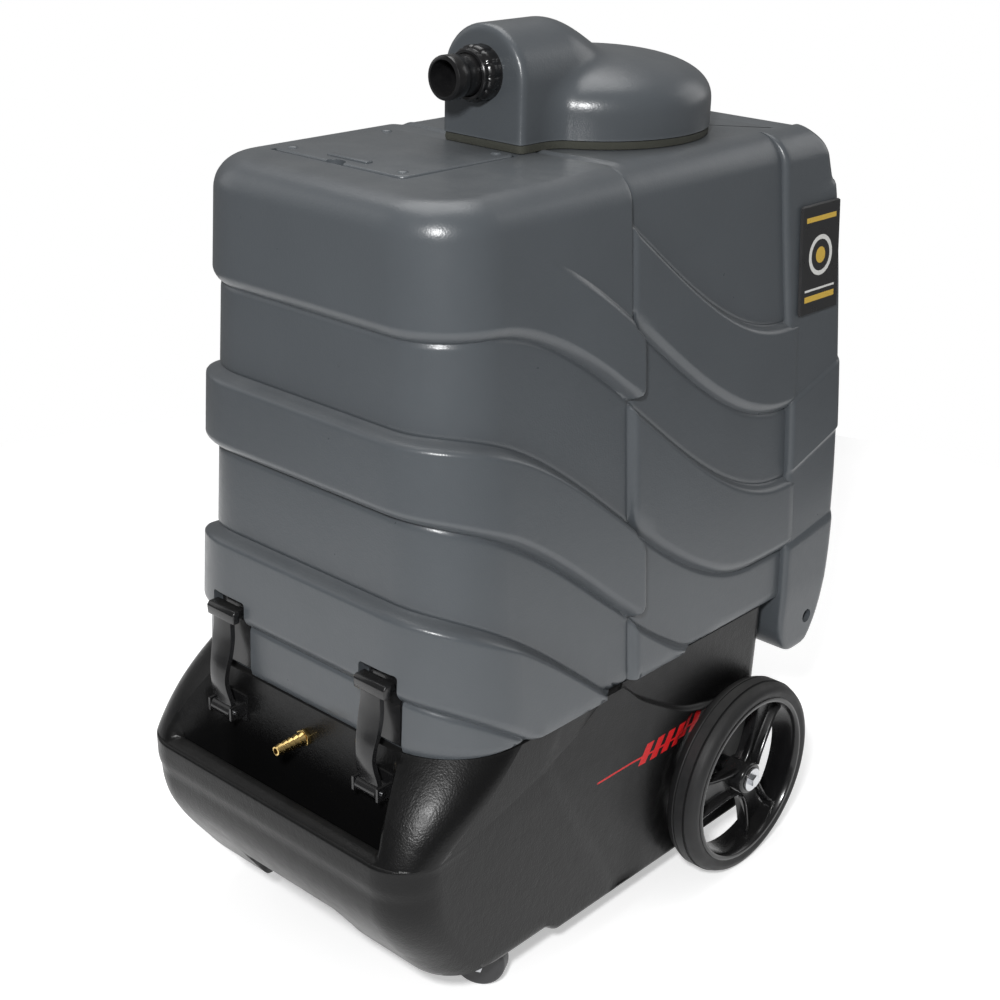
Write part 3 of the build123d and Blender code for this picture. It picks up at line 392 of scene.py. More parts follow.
class Wiring:
    """Adds and joins nodes in one tree."""

    def __init__(self, tree: bpy.types.NodeTree) -> None:
        """Keep the tree."""
        self.tree = tree

    def node(self, kind: str, **settings: object) -> bpy.types.Node:
        """A new node with some of its settings.

        Args:
            kind: Type of the node.
            settings: Properties to set on it.

        Returns:
            The new node.
        """
        made = self.tree.nodes.new(kind)
        for key, value in settings.items():
            setattr(made, key, value)
        return made

    def link(self, source: bpy.types.NodeSocket, target: bpy.types.NodeSocket) -> None:
        """Join two sockets."""
        self.tree.links.new(source, target)

    def feed(self, value: object, target: bpy.types.NodeSocket) -> None:
        """Join a socket, or set a plain number or colour.

        Args:
            value: A socket, a number or a colour.
            target: The input that takes it.
        """
        if isinstance(value, (int, float, tuple)):
            target.default_value = value
        else:
            self.link(value, target)

    def math(self, operation: str, a: object, b: object = 0.0, c: object = None) -> bpy.types.NodeSocket:
        """One arithmetic node.

        Args:
            operation: What the node works out.
            a: First value.
            b: Second value.
            c: Third value, where there is one.

        Returns:
            The result.
        """
        made = self.node("ShaderNodeMath", operation=operation)
        self.feed(a, made.inputs[0])
        self.feed(b, made.inputs[1])
        if c is not None:
            self.feed(c, made.inputs[2])
        return made.outputs[0]

    def between(self, value: object, low: float, high: float, soft: float) -> bpy.types.NodeSocket:
        """1 where a value lies between two limits, with soft edges.

        Args:
            value: The value to test.
            low: Lower limit.
            high: Upper limit.
            soft: Width of the soft edges.

        Returns:
            The mask.
        """
        sides = []
        for upper, lower in ((value, low), (high, value)):
            room = self.math("DIVIDE", self.math("SUBTRACT", upper, lower), soft)
            sides.append(self.math("SMOOTH_MIN", room, 1.0, 0.1))
        return self.math("MAXIMUM", self.math("MINIMUM", *sides), 0.0)

    def blend(self, share: object, under: object, over: object, kind: str = "MIX") -> bpy.types.NodeSocket:
        """One colour laid over another by a share.

        Args:
            share: How much of the upper colour shows.
            under: The lower colour.
            over: The upper colour.
            kind: How the two are mixed.

        Returns:
            The mixed colour.
        """
        made = self.node("ShaderNodeMixRGB", blend_type=kind)
        self.feed(share, made.inputs["Fac"])
        self.feed(under, made.inputs["Color1"])
        self.feed(over, made.inputs["Color2"])
        return made.outputs[0]

    def noise(self, vector: object, scale: object, detail: float = 3.0) -> bpy.types.NodeSocket:
        """A noise pattern's value.

        Args:
            vector: Where the pattern is read.
            scale: How fine it is.
            detail: How many finer layers it has.

        Returns:
            The pattern's value, about 0 to 1.
        """
        made = self.node("ShaderNodeTexNoise")
        self.link(vector, made.inputs["Vector"])
        self.feed(scale, made.inputs["Scale"])
        made.inputs["Detail"].default_value = detail
        return made.outputs["Fac"]


class Effects:
    """The effects that all finishes share, each built once."""

    made: dict[str, bpy.types.NodeTree] = {}

    @classmethod
    def skin(cls) -> bpy.types.NodeTree:
        """Moulded skin: fine bumps, slow mottling and scuffed patches.

        Returns:
            The group, which puts out Height, Tone and Rub.
        """
        if "skin" not in cls.made:
            tree, given, out = group_tree(
                "moulded_skin", {"Grain": 900.0, "Mottle": 9.0, "Scuff": 60.0}, ("Height", "Tone", "Rub"))
            w = Wiring(tree)
            where = w.node("ShaderNodeTexCoord").outputs["Object"]
            fine = w.noise(where, given.outputs["Grain"], 2.0)
            broad = w.noise(where, w.math("MULTIPLY", given.outputs["Grain"], 0.24), 2.0)
            w.link(w.math("MULTIPLY_ADD", broad, 0.9, fine), out.inputs["Height"])
            w.link(w.noise(where, given.outputs["Mottle"], 5.0), out.inputs["Tone"])
            w.link(w.noise(where, given.outputs["Scuff"], 6.0), out.inputs["Rub"])
            cls.made["skin"] = tree
        return cls.made["skin"]

    @classmethod
    def edge(cls) -> bpy.types.NodeTree:
        """Wear along edges, and dust that lies on upward faces.

        Returns:
            The group, which puts out Wear and Dust.
        """
        if "edge" not in cls.made:
            tree, given, out = group_tree("edge_and_dust", {"Break": 120.0}, ("Wear", "Dust"))
            w = Wiring(tree)
            shape = w.node("ShaderNodeNewGeometry")
            where = w.node("ShaderNodeTexCoord").outputs["Object"]
            spot = w.noise(where, given.outputs["Break"], 5.0)
            ridge = w.math("MULTIPLY", w.math("SUBTRACT", shape.outputs["Pointiness"], 0.515), 14.0)
            ridge = w.math("MINIMUM", w.math("MAXIMUM", ridge, 0.0), 1.0)
            w.link(w.math("MULTIPLY", ridge, w.math("MULTIPLY", spot, 1.5)), out.inputs["Wear"])
            split = w.node("ShaderNodeSeparateXYZ")
            w.link(shape.outputs["Normal"], split.inputs[0])
            up = w.math("POWER", w.math("MAXIMUM", split.outputs["Z"], 0.0), 4.0)
            w.link(w.math("MULTIPLY", up, w.noise(where, 22.0, 6.0)), out.inputs["Dust"])
            cls.made["edge"] = tree
        return cls.made["edge"]


@dataclass(frozen=True)
class Finish:
    """One surface finish, made as a procedural material."""

    name: str
    colour: Colour
    rough: float = 0.4
    metal: float = 0.0
    coat: float = 0.0
    grain: float = 900.0
    depth: float = 0.00015
    strength: float = 0.25
    mottle: float = 0.10
    rub: float = 0.10
    wear: float = 0.25
    dust: float = 0.05
    glow: float = 1.9
    shine: float = 0.5

    def material(self) -> bpy.types.Material:
        """The material, built the first time it is asked for.

        Returns:
            The material.
        """
        found = bpy.data.materials.get(self.name)
        if found:
            return found
        made = bpy.data.materials.new(self.name)
        made.use_nodes = True
        w = Wiring(made.node_tree)
        shader = made.node_tree.nodes["Principled BSDF"]
        skin = w.node("ShaderNodeGroup", node_tree=Effects.skin())
        skin.inputs["Grain"].default_value = self.grain
        edge = w.node("ShaderNodeGroup", node_tree=Effects.edge())
        colour = self.paint(w, self.toned(w, skin, edge))
        w.link(colour, shader.inputs["Base Color"])
        rubbed = w.math("SUBTRACT", skin.outputs["Rub"], 0.5)
        rough = w.math("MULTIPLY_ADD", rubbed, 2 * self.rub, self.rough)
        w.link(w.math("MULTIPLY_ADD", edge.outputs["Dust"], self.dust, rough), shader.inputs["Roughness"])
        shader.inputs["Metallic"].default_value = self.metal
        shader.inputs["Coat Weight"].default_value = self.coat
        shader.inputs["Specular IOR Level"].default_value = self.shine
        shader.inputs["Coat Roughness"].default_value = COAT_ROUGH
        bump = w.node("ShaderNodeBump")
        bump.inputs["Strength"].default_value = self.strength
        bump.inputs["Distance"].default_value = self.depth
        w.link(skin.outputs["Height"], bump.inputs["Height"])
        w.link(bump.outputs["Normal"], shader.inputs["Normal"])
        self.extra(shader)
        return made

    def toned(self, w: Wiring, skin: bpy.types.Node, edge: bpy.types.Node) -> bpy.types.NodeSocket:
        """Base colour with mottling, worn edges and dust.

        Args:
            w: Wiring of the material.
            skin: The moulded skin group.
            edge: The edge and dust group.

        Returns:
            The colour.
        """
        bare = (*[min(c * self.glow + 0.02, 1) for c in self.colour], 1)
        colour = w.blend(self.mottle * 2, (*self.colour, 1), skin.outputs["Tone"], "MULTIPLY")
        colour = w.blend(w.math("MULTIPLY", edge.outputs["Wear"], self.wear), colour, bare)
        return w.blend(w.math("MULTIPLY", edge.outputs["Dust"], self.dust), colour, (*DUST, 1))

    def paint(self, w: Wiring, colour: bpy.types.NodeSocket) -> bpy.types.NodeSocket:
        """Printing on top of the base colour; plain finishes have none."""
        return colour

    def extra(self, shader: bpy.types.Node) -> None:
        """Further constants of the shader; plain finishes have none."""


@dataclass(frozen=True)
class FloorFinish(Finish):
    """Pale studio floor that stays white far from the lights."""

    glow_strength: float = 0.45

    def extra(self, shader: bpy.types.Node) -> None:
        """Add a faint light of its own."""
        shader.inputs["Emission Color"].default_value = (1, 1, 1, 1)
        shader.inputs["Emission Strength"].default_value = self.glow_strength


@dataclass(frozen=True)
class GlassFinish(Finish):
    """Clear moulded window."""

    def extra(self, shader: bpy.types.Node) -> None:
        """Let light through."""
        shader.inputs["Transmission Weight"].default_value = 1.0


@dataclass(frozen=True)
class StripedFinish(Finish):
    """Black moulding with a red pinstripe and slanted bars on its sides."""

    stripe_z: float = 0.2185
    stripe_half: float = 0.0013
    stripe_y: tuple[float, float] = (-0.078, 0.262)
    bars_y: tuple[float, float] = (0.004, 0.150)
    bars_z: tuple[float, float] = (0.208, 0.234)
    bar_pitch: float = 0.0209
    bar_share: float = 0.62
    slant: float = 0.55
    side_x: float = 0.2145
    red: Colour = (0.52, 0.012, 0.014)

    def paint(self, w: Wiring, colour: bpy.types.NodeSocket) -> bpy.types.NodeSocket:
        """Add the pinstripe and the bars.

        Args:
            w: Wiring of the material.
            colour: The colour below the print.

        Returns:
            The printed colour.
        """
        split = w.node("ShaderNodeSeparateXYZ")
        w.link(w.node("ShaderNodeTexCoord").outputs["Object"], split.inputs[0])
        x, y, z = split.outputs
        side = w.math("GREATER_THAN", w.math("ABSOLUTE", x), self.side_x)
        above = w.math("SUBTRACT", z, self.stripe_z)
        line = w.math("LESS_THAN", w.math("ABSOLUTE", above), self.stripe_half)
        line = w.math("MULTIPLY", line, w.between(y, *self.stripe_y, 0.002))
        lean = w.math("MULTIPLY_ADD", z, -self.slant, y)
        start = self.bars_y[0] - self.slant * self.stripe_z
        cell = w.math("FRACT", w.math("DIVIDE", w.math("SUBTRACT", lean, start), self.bar_pitch))
        bars = w.math("MULTIPLY", w.math("LESS_THAN", cell, self.bar_share),
                      w.between(z, *self.bars_z, 0.0004))
        reach = w.between(lean, start, self.bars_y[1] - self.slant * self.stripe_z, 0.0004)
        print_mask = w.math("MAXIMUM", line, w.math("MULTIPLY", bars, reach))
        return w.blend(w.math("MULTIPLY", print_mask, side), colour, (*self.red, 1))


@dataclass(frozen=True)
class PlateFinish(Finish):
    """Printed plate: a gold bar, a pale ring and a few plain rules on black."""

    middle_y: float = 0.322
    middle_z: float = 0.761
    gold: Colour = (0.55, 0.36, 0.05)
    pale: Colour = (0.62, 0.62, 0.60)

    def paint(self, w: Wiring, colour: bpy.types.NodeSocket) -> bpy.types.NodeSocket:
        """Add the bar, the ring and the rules.

        Args:
            w: Wiring of the material.
            colour: The colour below the print.

        Returns:
            The printed colour.
        """
        split = w.node("ShaderNodeSeparateXYZ")
        w.link(w.node("ShaderNodeTexCoord").outputs["Object"], split.inputs[0])
        y = w.math("SUBTRACT", split.outputs["Y"], self.middle_y)
        z = w.math("SUBTRACT", split.outputs["Z"], self.middle_z)
        far = w.math("SQRT", w.math("ADD", w.math("POWER", w.math("ABSOLUTE", y), 2.0),
                                    w.math("POWER", w.math("ABSOLUTE", w.math("SUBTRACT", z, 0.004)), 2.0)))
        inside = w.between(y, -0.031, 0.031, 0.0005)
        marks = (
            (w.between(far, 0.0185, 0.0245, 0.0006), self.pale),
            (w.between(far, -1.0, 0.010, 0.0006), self.gold),
            (w.math("MULTIPLY", w.between(z, 0.045, 0.0515, 0.0005), inside), self.gold),
            (w.math("MULTIPLY", w.between(z, -0.0375, -0.0345, 0.0004), inside), self.pale),
            (w.math("MULTIPLY", w.between(z, -0.050, -0.0425, 0.0004), inside), self.gold),
        )
        for mask, ink in marks:
            colour = w.blend(mask, colour, (*ink, 1))
        return colour


TANK_GREY = Finish("tank_grey", (0.066, 0.074, 0.082), rough=0.31, grain=520.0, depth=0.0005,
                   strength=0.30, mottle=0.07, rub=0.07, wear=0.30, dust=0.10, glow=1.5, shine=0.5)
BASE_BLACK = StripedFinish("base_black", (0.0050, 0.0050, 0.0052), rough=0.33, grain=480.0, depth=0.0006,
                           strength=0.42, mottle=0.15, rub=0.08, wear=0.16, dust=0.03, glow=3.0, shine=0.20)
GLOSS_BLACK = Finish("gloss_black", (0.006, 0.006, 0.0065), rough=0.24, coat=0.25, grain=1200.0,
                     depth=0.0001, strength=0.12, wear=0.20, dust=0.03, glow=3.0, shine=0.34)
TYRE_RUBBER = Finish("tyre_rubber", (0.010, 0.010, 0.0105), rough=0.55, grain=1500.0, depth=0.0003,
                     strength=0.4, wear=0.30, dust=0.10, glow=2.6, shine=0.35)
SEAL_FOAM = Finish("seal_foam", (0.031, 0.032, 0.024), rough=0.85, grain=1900.0, depth=0.0006, strength=0.8,
                   wear=0.3, dust=0.1)
CASTER_RUBBER = Finish("caster_rubber", (0.030, 0.030, 0.032), rough=0.5, grain=1500.0, strength=0.3,
                       wear=0.3)
ZINC = Finish("zinc_plate", (0.60, 0.61, 0.63), rough=0.27, metal=1.0, grain=700.0, strength=0.12,
              mottle=0.14, rub=0.14, wear=0.3, dust=0.05, glow=1.3)
BRASS = Finish("machined_brass", (0.78, 0.56, 0.22), rough=0.24, metal=1.0, grain=900.0, strength=0.02,
               mottle=0.12, rub=0.10, glow=1.3)
PANEL_PAINT = Finish("panel_powder_coat", (0.045, 0.045, 0.05), rough=0.45, grain=2200.0, depth=0.0003,
                     strength=0.5, wear=0.5, glow=4.0)
MOTOR_PLASTIC = Finish("motor_housing", (0.06, 0.06, 0.066), rough=0.5, strength=0.3)
CAST_ALLOY = Finish("cast_alloy", (0.50, 0.51, 0.52), rough=0.42, metal=1.0, grain=500.0, depth=0.0006,
                    strength=0.4, mottle=0.2)
PLATE_PRINT = PlateFinish("printed_plate", (0.010, 0.010, 0.011), rough=0.3, coat=0.4, strength=0.05,
                          wear=0.1, dust=0.02)
LENS_GLASS = GlassFinish("clear_lens", (0.93, 0.95, 0.95), rough=0.05, strength=0.02, mottle=0.02, rub=0.03,
                         wear=0.0, dust=0.0)
NEEDLE_RED = Finish("needle_red", (0.55, 0.03, 0.02), rough=0.4, strength=0.1)
SWITCH_RED = Finish("switch_red", (0.42, 0.015, 0.015), rough=0.25, coat=0.3, strength=0.08)
FLOAT_IVORY = Finish("float_ivory", (0.70, 0.67, 0.60), rough=0.45, strength=0.1)
PIPE_WHITE = Finish("pipe_white", (0.66, 0.66, 0.64), rough=0.4, strength=0.1)
WIRING_GREY = Finish("wiring_cover", (0.05, 0.05, 0.055), rough=0.5, strength=0.3)


# ---- outlines in plan ----

class Zone(Enum):
    """Part of an outline seen from above, from the middle of the front round to the back."""

    FRONT = 0
    CORNER = 1
    SIDE = 2
    HEEL = 3
    BACK = 4


class Station(NamedTuple):
    """One column of a skin: its zone, its place in the zone and its side."""

    zone: Zone
    at: float
    side: int


class Plan(NamedTuple):
    """A rounded outline at one height."""

    half: float
    front: float
    back: float
    corner: float
    heel: float

    def spot(self, station: Station, side_y: float = 0.0) -> tuple[Vector, Vector]:
        """A point of the outline and its outward direction, both level.

        Args:
            station: Which column.
            side_y: The column's y where it is on a side.

        Returns:
            The point and the direction.
        """
        s, t = station.side, station.at
        if station.zone is Zone.FRONT:
            return Vector((s * t * (self.half - self.corner), self.front, 0)), Vector((0, -1, 0))
        if station.zone is Zone.CORNER:
            a = t * QUARTER
            out = Vector((s * math.sin(a), -math.cos(a), 0))
            middle = Vector((s * (self.half - self.corner), self.front + self.corner, 0))
            return middle + out * self.corner, out
        if station.zone is Zone.SIDE:
            return Vector((s * self.half, side_y, 0)), Vector((s, 0, 0))
        if station.zone is Zone.HEEL:
            a = t * QUARTER
            out = Vector((s * math.cos(a), math.sin(a), 0))
            middle = Vector((s * (self.half - self.heel), self.back - self.heel, 0))
            return middle + out * self.heel, out
        return Vector((s * (1 - t) * (self.half - self.heel), self.back, 0)), Vector((0, 1, 0))


def full_ring(half: Sequence[tuple[Zone, float]]) -> list[Station]:
    """The whole ring from the columns of its right half, ending where it began.

    Args:
        half: Zones and places of the right half's columns, front to back.

    Returns:
        The columns in order.
    """
    right = [Station(zone, at, 1) for zone, at in half]
    left = [Station(zone, at, -1) for zone, at in reversed(half[1:-1])]
    return right + left + right[:1]


# ---- tank ----

class WaveLine(NamedTuple):
    """A line between two rows of the wave pattern: its height at the front and where it falls fastest."""

    height: float
    centre: float


@dataclass
class Tank:
    """The two-chamber tank with its wave rows, wings and top openings."""

    top: float
    seam: float
    back: float
    front: float
    half: float
    draft: float = 0.040
    lean: float = 0.017
    corner: float = 0.092
    corner_loss: float = 0.022
    crown: float = 0.034
    sides_from: float = -0.215
    step: float = -0.023
    step_room: float = 0.022
    drop: float = 0.280
    length: float = 0.516
    rear_drop: float = 0.004
    rim: float = 0.010
    chamfer: float = 0.016
    inner: float = 0.150
    lines: list[WaveLine] = field(default_factory=list)
    front_rows: tuple[float, ...] = (0.009, 0.009, 0.009, 0.0, 0.015, 0.0, 0.015, 0.006)
    rear_rows: tuple[float, ...] = (0.0, 0.009, 0.0, 0.009, 0.0, 0.009, 0.009, 0.009)

    def __post_init__(self) -> None:
        """Set out the wave lines, the columns and the rows."""
        falls = ((-0.063, 0.005), (0.045, 0.009), (0.134, 0.0065), (0.229, -0.051), (0.316, -0.081),
                 (0.408, -0.105), (0.501, -0.128))
        self.lines = [WaveLine(self.top - below, centre) for below, centre in falls]
        near = (-14, -10, -7, -5, -3.5, -2.2, -1.1, 0, 1.1, 2.2, 3.5, 5, 7, 10, 14)
        sides = (spread(self.sides_from, self.step - self.step_room, 26)
                 + [self.step + d / 1000 for d in near]
                 + spread(self.step + self.step_room, self.back - 0.013, 26))
        half = [(Zone.FRONT, t) for t in spread(0, 1, 13)] + [(Zone.CORNER, t) for t in spread(0, 1, 15)[1:]]
        half += [(Zone.SIDE, y) for y in sides] + [(Zone.HEEL, t) for t in spread(0, 1, 4)[1:]]
        half += [(Zone.BACK, t) for t in spread(0, 1, 7)[1:]]
        self.ring = full_ring(half)
        self.heights = {s: [self._line_height(k, s) for k in range(len(self.lines))] for s in set(self.ring)}
        around = (22, 18, 16, 14, 11, 8, 5, 3, 1.5, 0, -1, -2, -3.5, -5.5, -8, -10, -13)
        rows: list[tuple[str, int, float]] = [("under", 0, q) for q in (1, 0.6, 0.25, 0.08, 0.015)]
        rows += [("between", len(self.lines), f) for f in (0, 0.02, 0.2, 0.5, 0.8)]
        for k in reversed(range(len(self.lines))):
            rows += [("line", k, d / 1000) for d in reversed(around)]
            rows += [("between", k, f) for f in spread(0, 1, 8)[1:-1]]
        rows += [("crown", 0, math.radians(a)) for a in spread(0, 90, 15)]
        rows += [("over", 0, q) for q in (0.02, 0.06, 0.12, 0.2, 0.3, 0.42, 0.56, 0.7, 0.85, 1)]
        self.rows = rows

    def plan(self, z: float, inset: float = 0.0) -> Plan:
        """The tank's outline at a height.

        Args:
            z: The height.
            inset: How far inside the skin the outline runs.

        Returns:
            The outline.
        """
        share = (z - self.seam) / (self.top - self.seam)
        return Plan(self.half - self.draft * share - inset, self.front + self.lean * share + inset,
                    self.back - min(inset, 0.012), max(self.corner - self.corner_loss * share - inset, 0.02),
                    0.012)

    def side_y(self, station: Station, z: float) -> float:
        """The y of a side column at a height; the rows' ends wander a little at the step.

        Args:
            station: Which column of the ring.
            z: Height of the point.

        Returns:
            The y, or 0 for a column that is not on a side.
        """
        if station.zone is not Zone.SIDE:
            return 0.0
        plan = self.plan(z)
        start = plan.front + plan.corner
        past = station.at - self.sides_from
        share = clamp(past / (self.step - self.step_room - self.sides_from))
        y = start + past if share <= 0 else mix(start, station.at, share)
        return y + self._wander(z) * ease(1 - abs(station.at - self.step) / 0.06)

    def _wander(self, z: float) -> float:
        """How far the step stands back at a height.

        Args:
            z: Height of the point.

        Returns:
            The distance, in metres towards +Y.
        """
        reach = 0.0
        for upper, lower in ((1, 2), (3, 4)):
            top = self.wave(self.lines[upper], self.step)
            bottom = self.wave(self.lines[lower], self.step)
            reach = max(reach, ease((top - z) / 0.02) * ease((z - bottom) / 0.02))
        return 0.016 * reach - 0.005

    def wave(self, line: WaveLine, y: float) -> float:
        """Height of a wave line: level along the front, falling in an S towards the back."""
        return line.height - self.drop * ease((y - line.centre) / self.length + 0.5)

    def _line_height(self, k: int, station: Station) -> float:
        """Where a wave line crosses a column.

        Args:
            k: Which wave line.
            station: Which column of the ring.

        Returns:
            The height.
        """
        z = self.lines[k].height
        for _ in range(6):
            place, _out = self.plan(min(z, self.top)).spot(station, self.side_y(station, z))
            y = place.y
            z = self.wave(self.lines[k], y) - self.rear_drop * ease((y - self.step) / 0.008 + 0.5)
        return z

    def stand(self, rows: Sequence[float], y: float, z: float) -> float:
        """How far a point of the skin stands proud, from the row it lies in.

        Args:
            rows: Stand-off of each row, from the top.
            y: The point's y.
            z: Height of the point.

        Returns:
            The stand-off.
        """
        value = rows[0]
        for line, above, below in zip(self.lines, rows, rows[1:]):
            level = self.wave(line, y) - self.rear_drop * ease((y - self.step) / 0.008 + 0.5)
            if below > above:
                share = swell((level + 0.001 - z) / self.rim)
            else:
                share = 1 - math.cos(clamp((level + self.chamfer - z) / self.chamfer) * QUARTER)
            value += (below - above) * share
            if above != below:
                value -= 0.0018 * bell((z - level) / 0.0028)
        return value

    def proud(self, y: float, z: float) -> float:
        """Stand-off of the skin at a point, with the step between the front and rear chambers.

        Args:
            y: The point's y.
            z: Height of the point.

        Returns:
            The stand-off.
        """
        edge = self.step + self._wander(z)
        fore = self.stand(self.front_rows, y, z)
        fade = self.wave(self.lines[1], y)
        fore += 0.006 * ease((y + 0.177) / 0.12) * swell((fade - z) / self.rim) * ease(
            (z - self.wave(self.lines[2], y)) / self.chamfer)
        aft = self.stand(self.rear_rows, y, z)
        value = mix(fore, aft, ease((y - edge + 0.0035) / 0.007))
        return value - 0.0035 * bell((y - edge - 0.001) / 0.0035)

    def relief(self, x: float, y: float) -> float:
        """Shape of the top where the chambers meet: a groove with a ridge behind it."""
        groove = self.step - 0.004 + 0.012 * (x / 0.18) ** 2
        return 0.0016 * bell((y - groove - 0.006) / 0.005) - 0.0022 * bell((y - groove) / 0.0035)

    def place(self, column: int, row: int) -> Vector:
        """A point of the outer skin.

        Args:
            column: Which point across.
            row: Which point up.

        Returns:
            The point's place.
        """
        station, (kind, k, value) = self.ring[column], self.rows[row]
        marks = self.heights[station]
        top, low = self.top - self.crown, self.seam + 0.0005
        if kind in ("under", "over"):
            z, inset = (low, 0.003) if kind == "under" else (self.top, self.crown)
            rim = self.skin_point(station, z, inset)
            middle = Vector((0, clamp(rim.y, self.front + 0.16, self.back - 0.12), 0))
            spot = rim.lerp(middle, value)
            lift = self.relief(spot.x, spot.y) if kind == "over" else 0.0
            return Vector((spot.x, spot.y, z + lift))
        if kind == "crown":
            z = top + self.crown * math.sin(value)
            point = self.skin_point(station, z, self.crown * (1 - math.cos(value)))
            lift = self.relief(point.x, point.y) * ease(math.degrees(value) / 90 * 3 - 2)
            return Vector((point.x, point.y, z + lift))
        if kind == "line":
            z = marks[k] + value
        else:
            above = marks[k - 1] - 0.013 if k else top
            below = marks[k] + 0.022 if k < len(marks) else low
            z = mix(min(below, top), above, value) if above > below else below
        z = clamp(z, low, top)
        inset = 0.003 * (1 - ease((z - low) / 0.003))
        point = self.skin_point(station, z, inset)
        return Vector((point.x, point.y, z))

    def skin_point(self, station: Station, z: float, inset: float) -> Vector:
        """Plan place of a column at a height, with the skin's stand-off.

        Args:
            station: Which column of the ring.
            z: Height of the point.
            inset: How far inside the skin the outline runs.

        Returns:
            The point, at height 0.
        """
        spot, out = self.plan(z, inset).spot(station, self.side_y(station, z))
        away = self.proud(spot.y, z)
        if station.zone is Zone.BACK:
            away = 0.0
        if station.zone is Zone.HEEL:
            away *= 1 - station.at
        return spot + out * away

    def chamber(self, y0: float, y1: float) -> bmesh.types.BMesh:
        """One water chamber as a solid to cut away.

        Args:
            y0: Front of the chamber.
            y1: Back of the chamber.

        Returns:
            The solid.
        """
        low, high = (self.seam + 0.006, 0.009), (self.top - 0.006, self.crown)
        bm = block(Vector((-1, y0, 0)), Vector((1, y1, 1)), 0)
        for vert in bm.verts:
            z, inset = low if vert.co.z < 0.5 else high
            vert.co = Vector((math.copysign(self.plan(z, inset).half, vert.co.x), vert.co.y, z))
        upright = [e for e in bm.edges if abs(e.verts[0].co.z - e.verts[1].co.z) > 0.1
                   and e.verts[0].co.y < self.front + 0.05]
        if upright:
            bmesh.ops.bevel(bm, geom=upright, offset=self.corner - 0.02, segments=8, profile=0.5,
                            affect="EDGES", material=-1)
        return bm

    def build(self) -> None:
        """Make the body, the wings and the bridge behind the dome."""
        body = sheet(len(self.ring), len(self.rows), self.place)
        cap(body)
        fill_low, fill_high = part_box("fill_lid")
        ledge, gap = 0.010, 0.0009
        cutters = [
            self.chamber(self.front + 0.024, self.step - 0.005),
            self.chamber(self.step + 0.005, self.back - 0.006),
            block(Vector((fill_low.x - gap, fill_low.y - gap, self.top - 0.0062)),
                  Vector((fill_high.x + gap, fill_high.y + gap, self.top + 0.02)), 0),
            block(Vector((fill_low.x + ledge, fill_low.y + ledge, self.top - 0.03)),
                  Vector((fill_high.x - ledge, fill_high.y - ledge, self.top + 0.02)), 0)]
        dome_low, dome_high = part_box("lid_gasket")
        dome_r = (dome_high.x - dome_low.x) / 2
        middle = Vector((0, dome_high.y - dome_r, self.top - 0.03))
        cutters.append(drum(dome_r - 0.021, 0, 0.05, middle, Vector((0, 0, 1))))
        for node in ("latch_left", "latch_right"):
            low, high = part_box(node)
            mid = (low.x + high.x) / 2
            cutters.append(block(Vector((mid - 0.0275, self.front - 0.06, self.seam - 0.01)),
                                 Vector((mid + 0.0275, self.front + 0.0035, high.z + 0.009)), 0.004))
        body = carve(body, cutters)
        piece("tank_body", body, "tank", TANK_GREY, ["tank_shell"], sharp=CREASE)
        for side in (-1, 1):
            Wing(self, side).build()
        bridge_front, bridge_z = self.back - 0.012, self.top - 0.1
        shape = [(bridge_front, bridge_z), (self.back + 0.004, bridge_z),
                 (self.back + 0.040, self.top - 0.054), (self.back + 0.041, self.top - 0.016),
                 (self.back + 0.027, self.top - 0.001), (bridge_front, self.top - 0.001)]
        outline = [Vector((-self.inner - 0.004, y, z)) for y, z in shape]
        bridge = slab(outline, Vector((2 * self.inner + 0.008, 0, 0)), 0.005, 4)
        piece("rear_bridge", bridge, "tank", TANK_GREY)


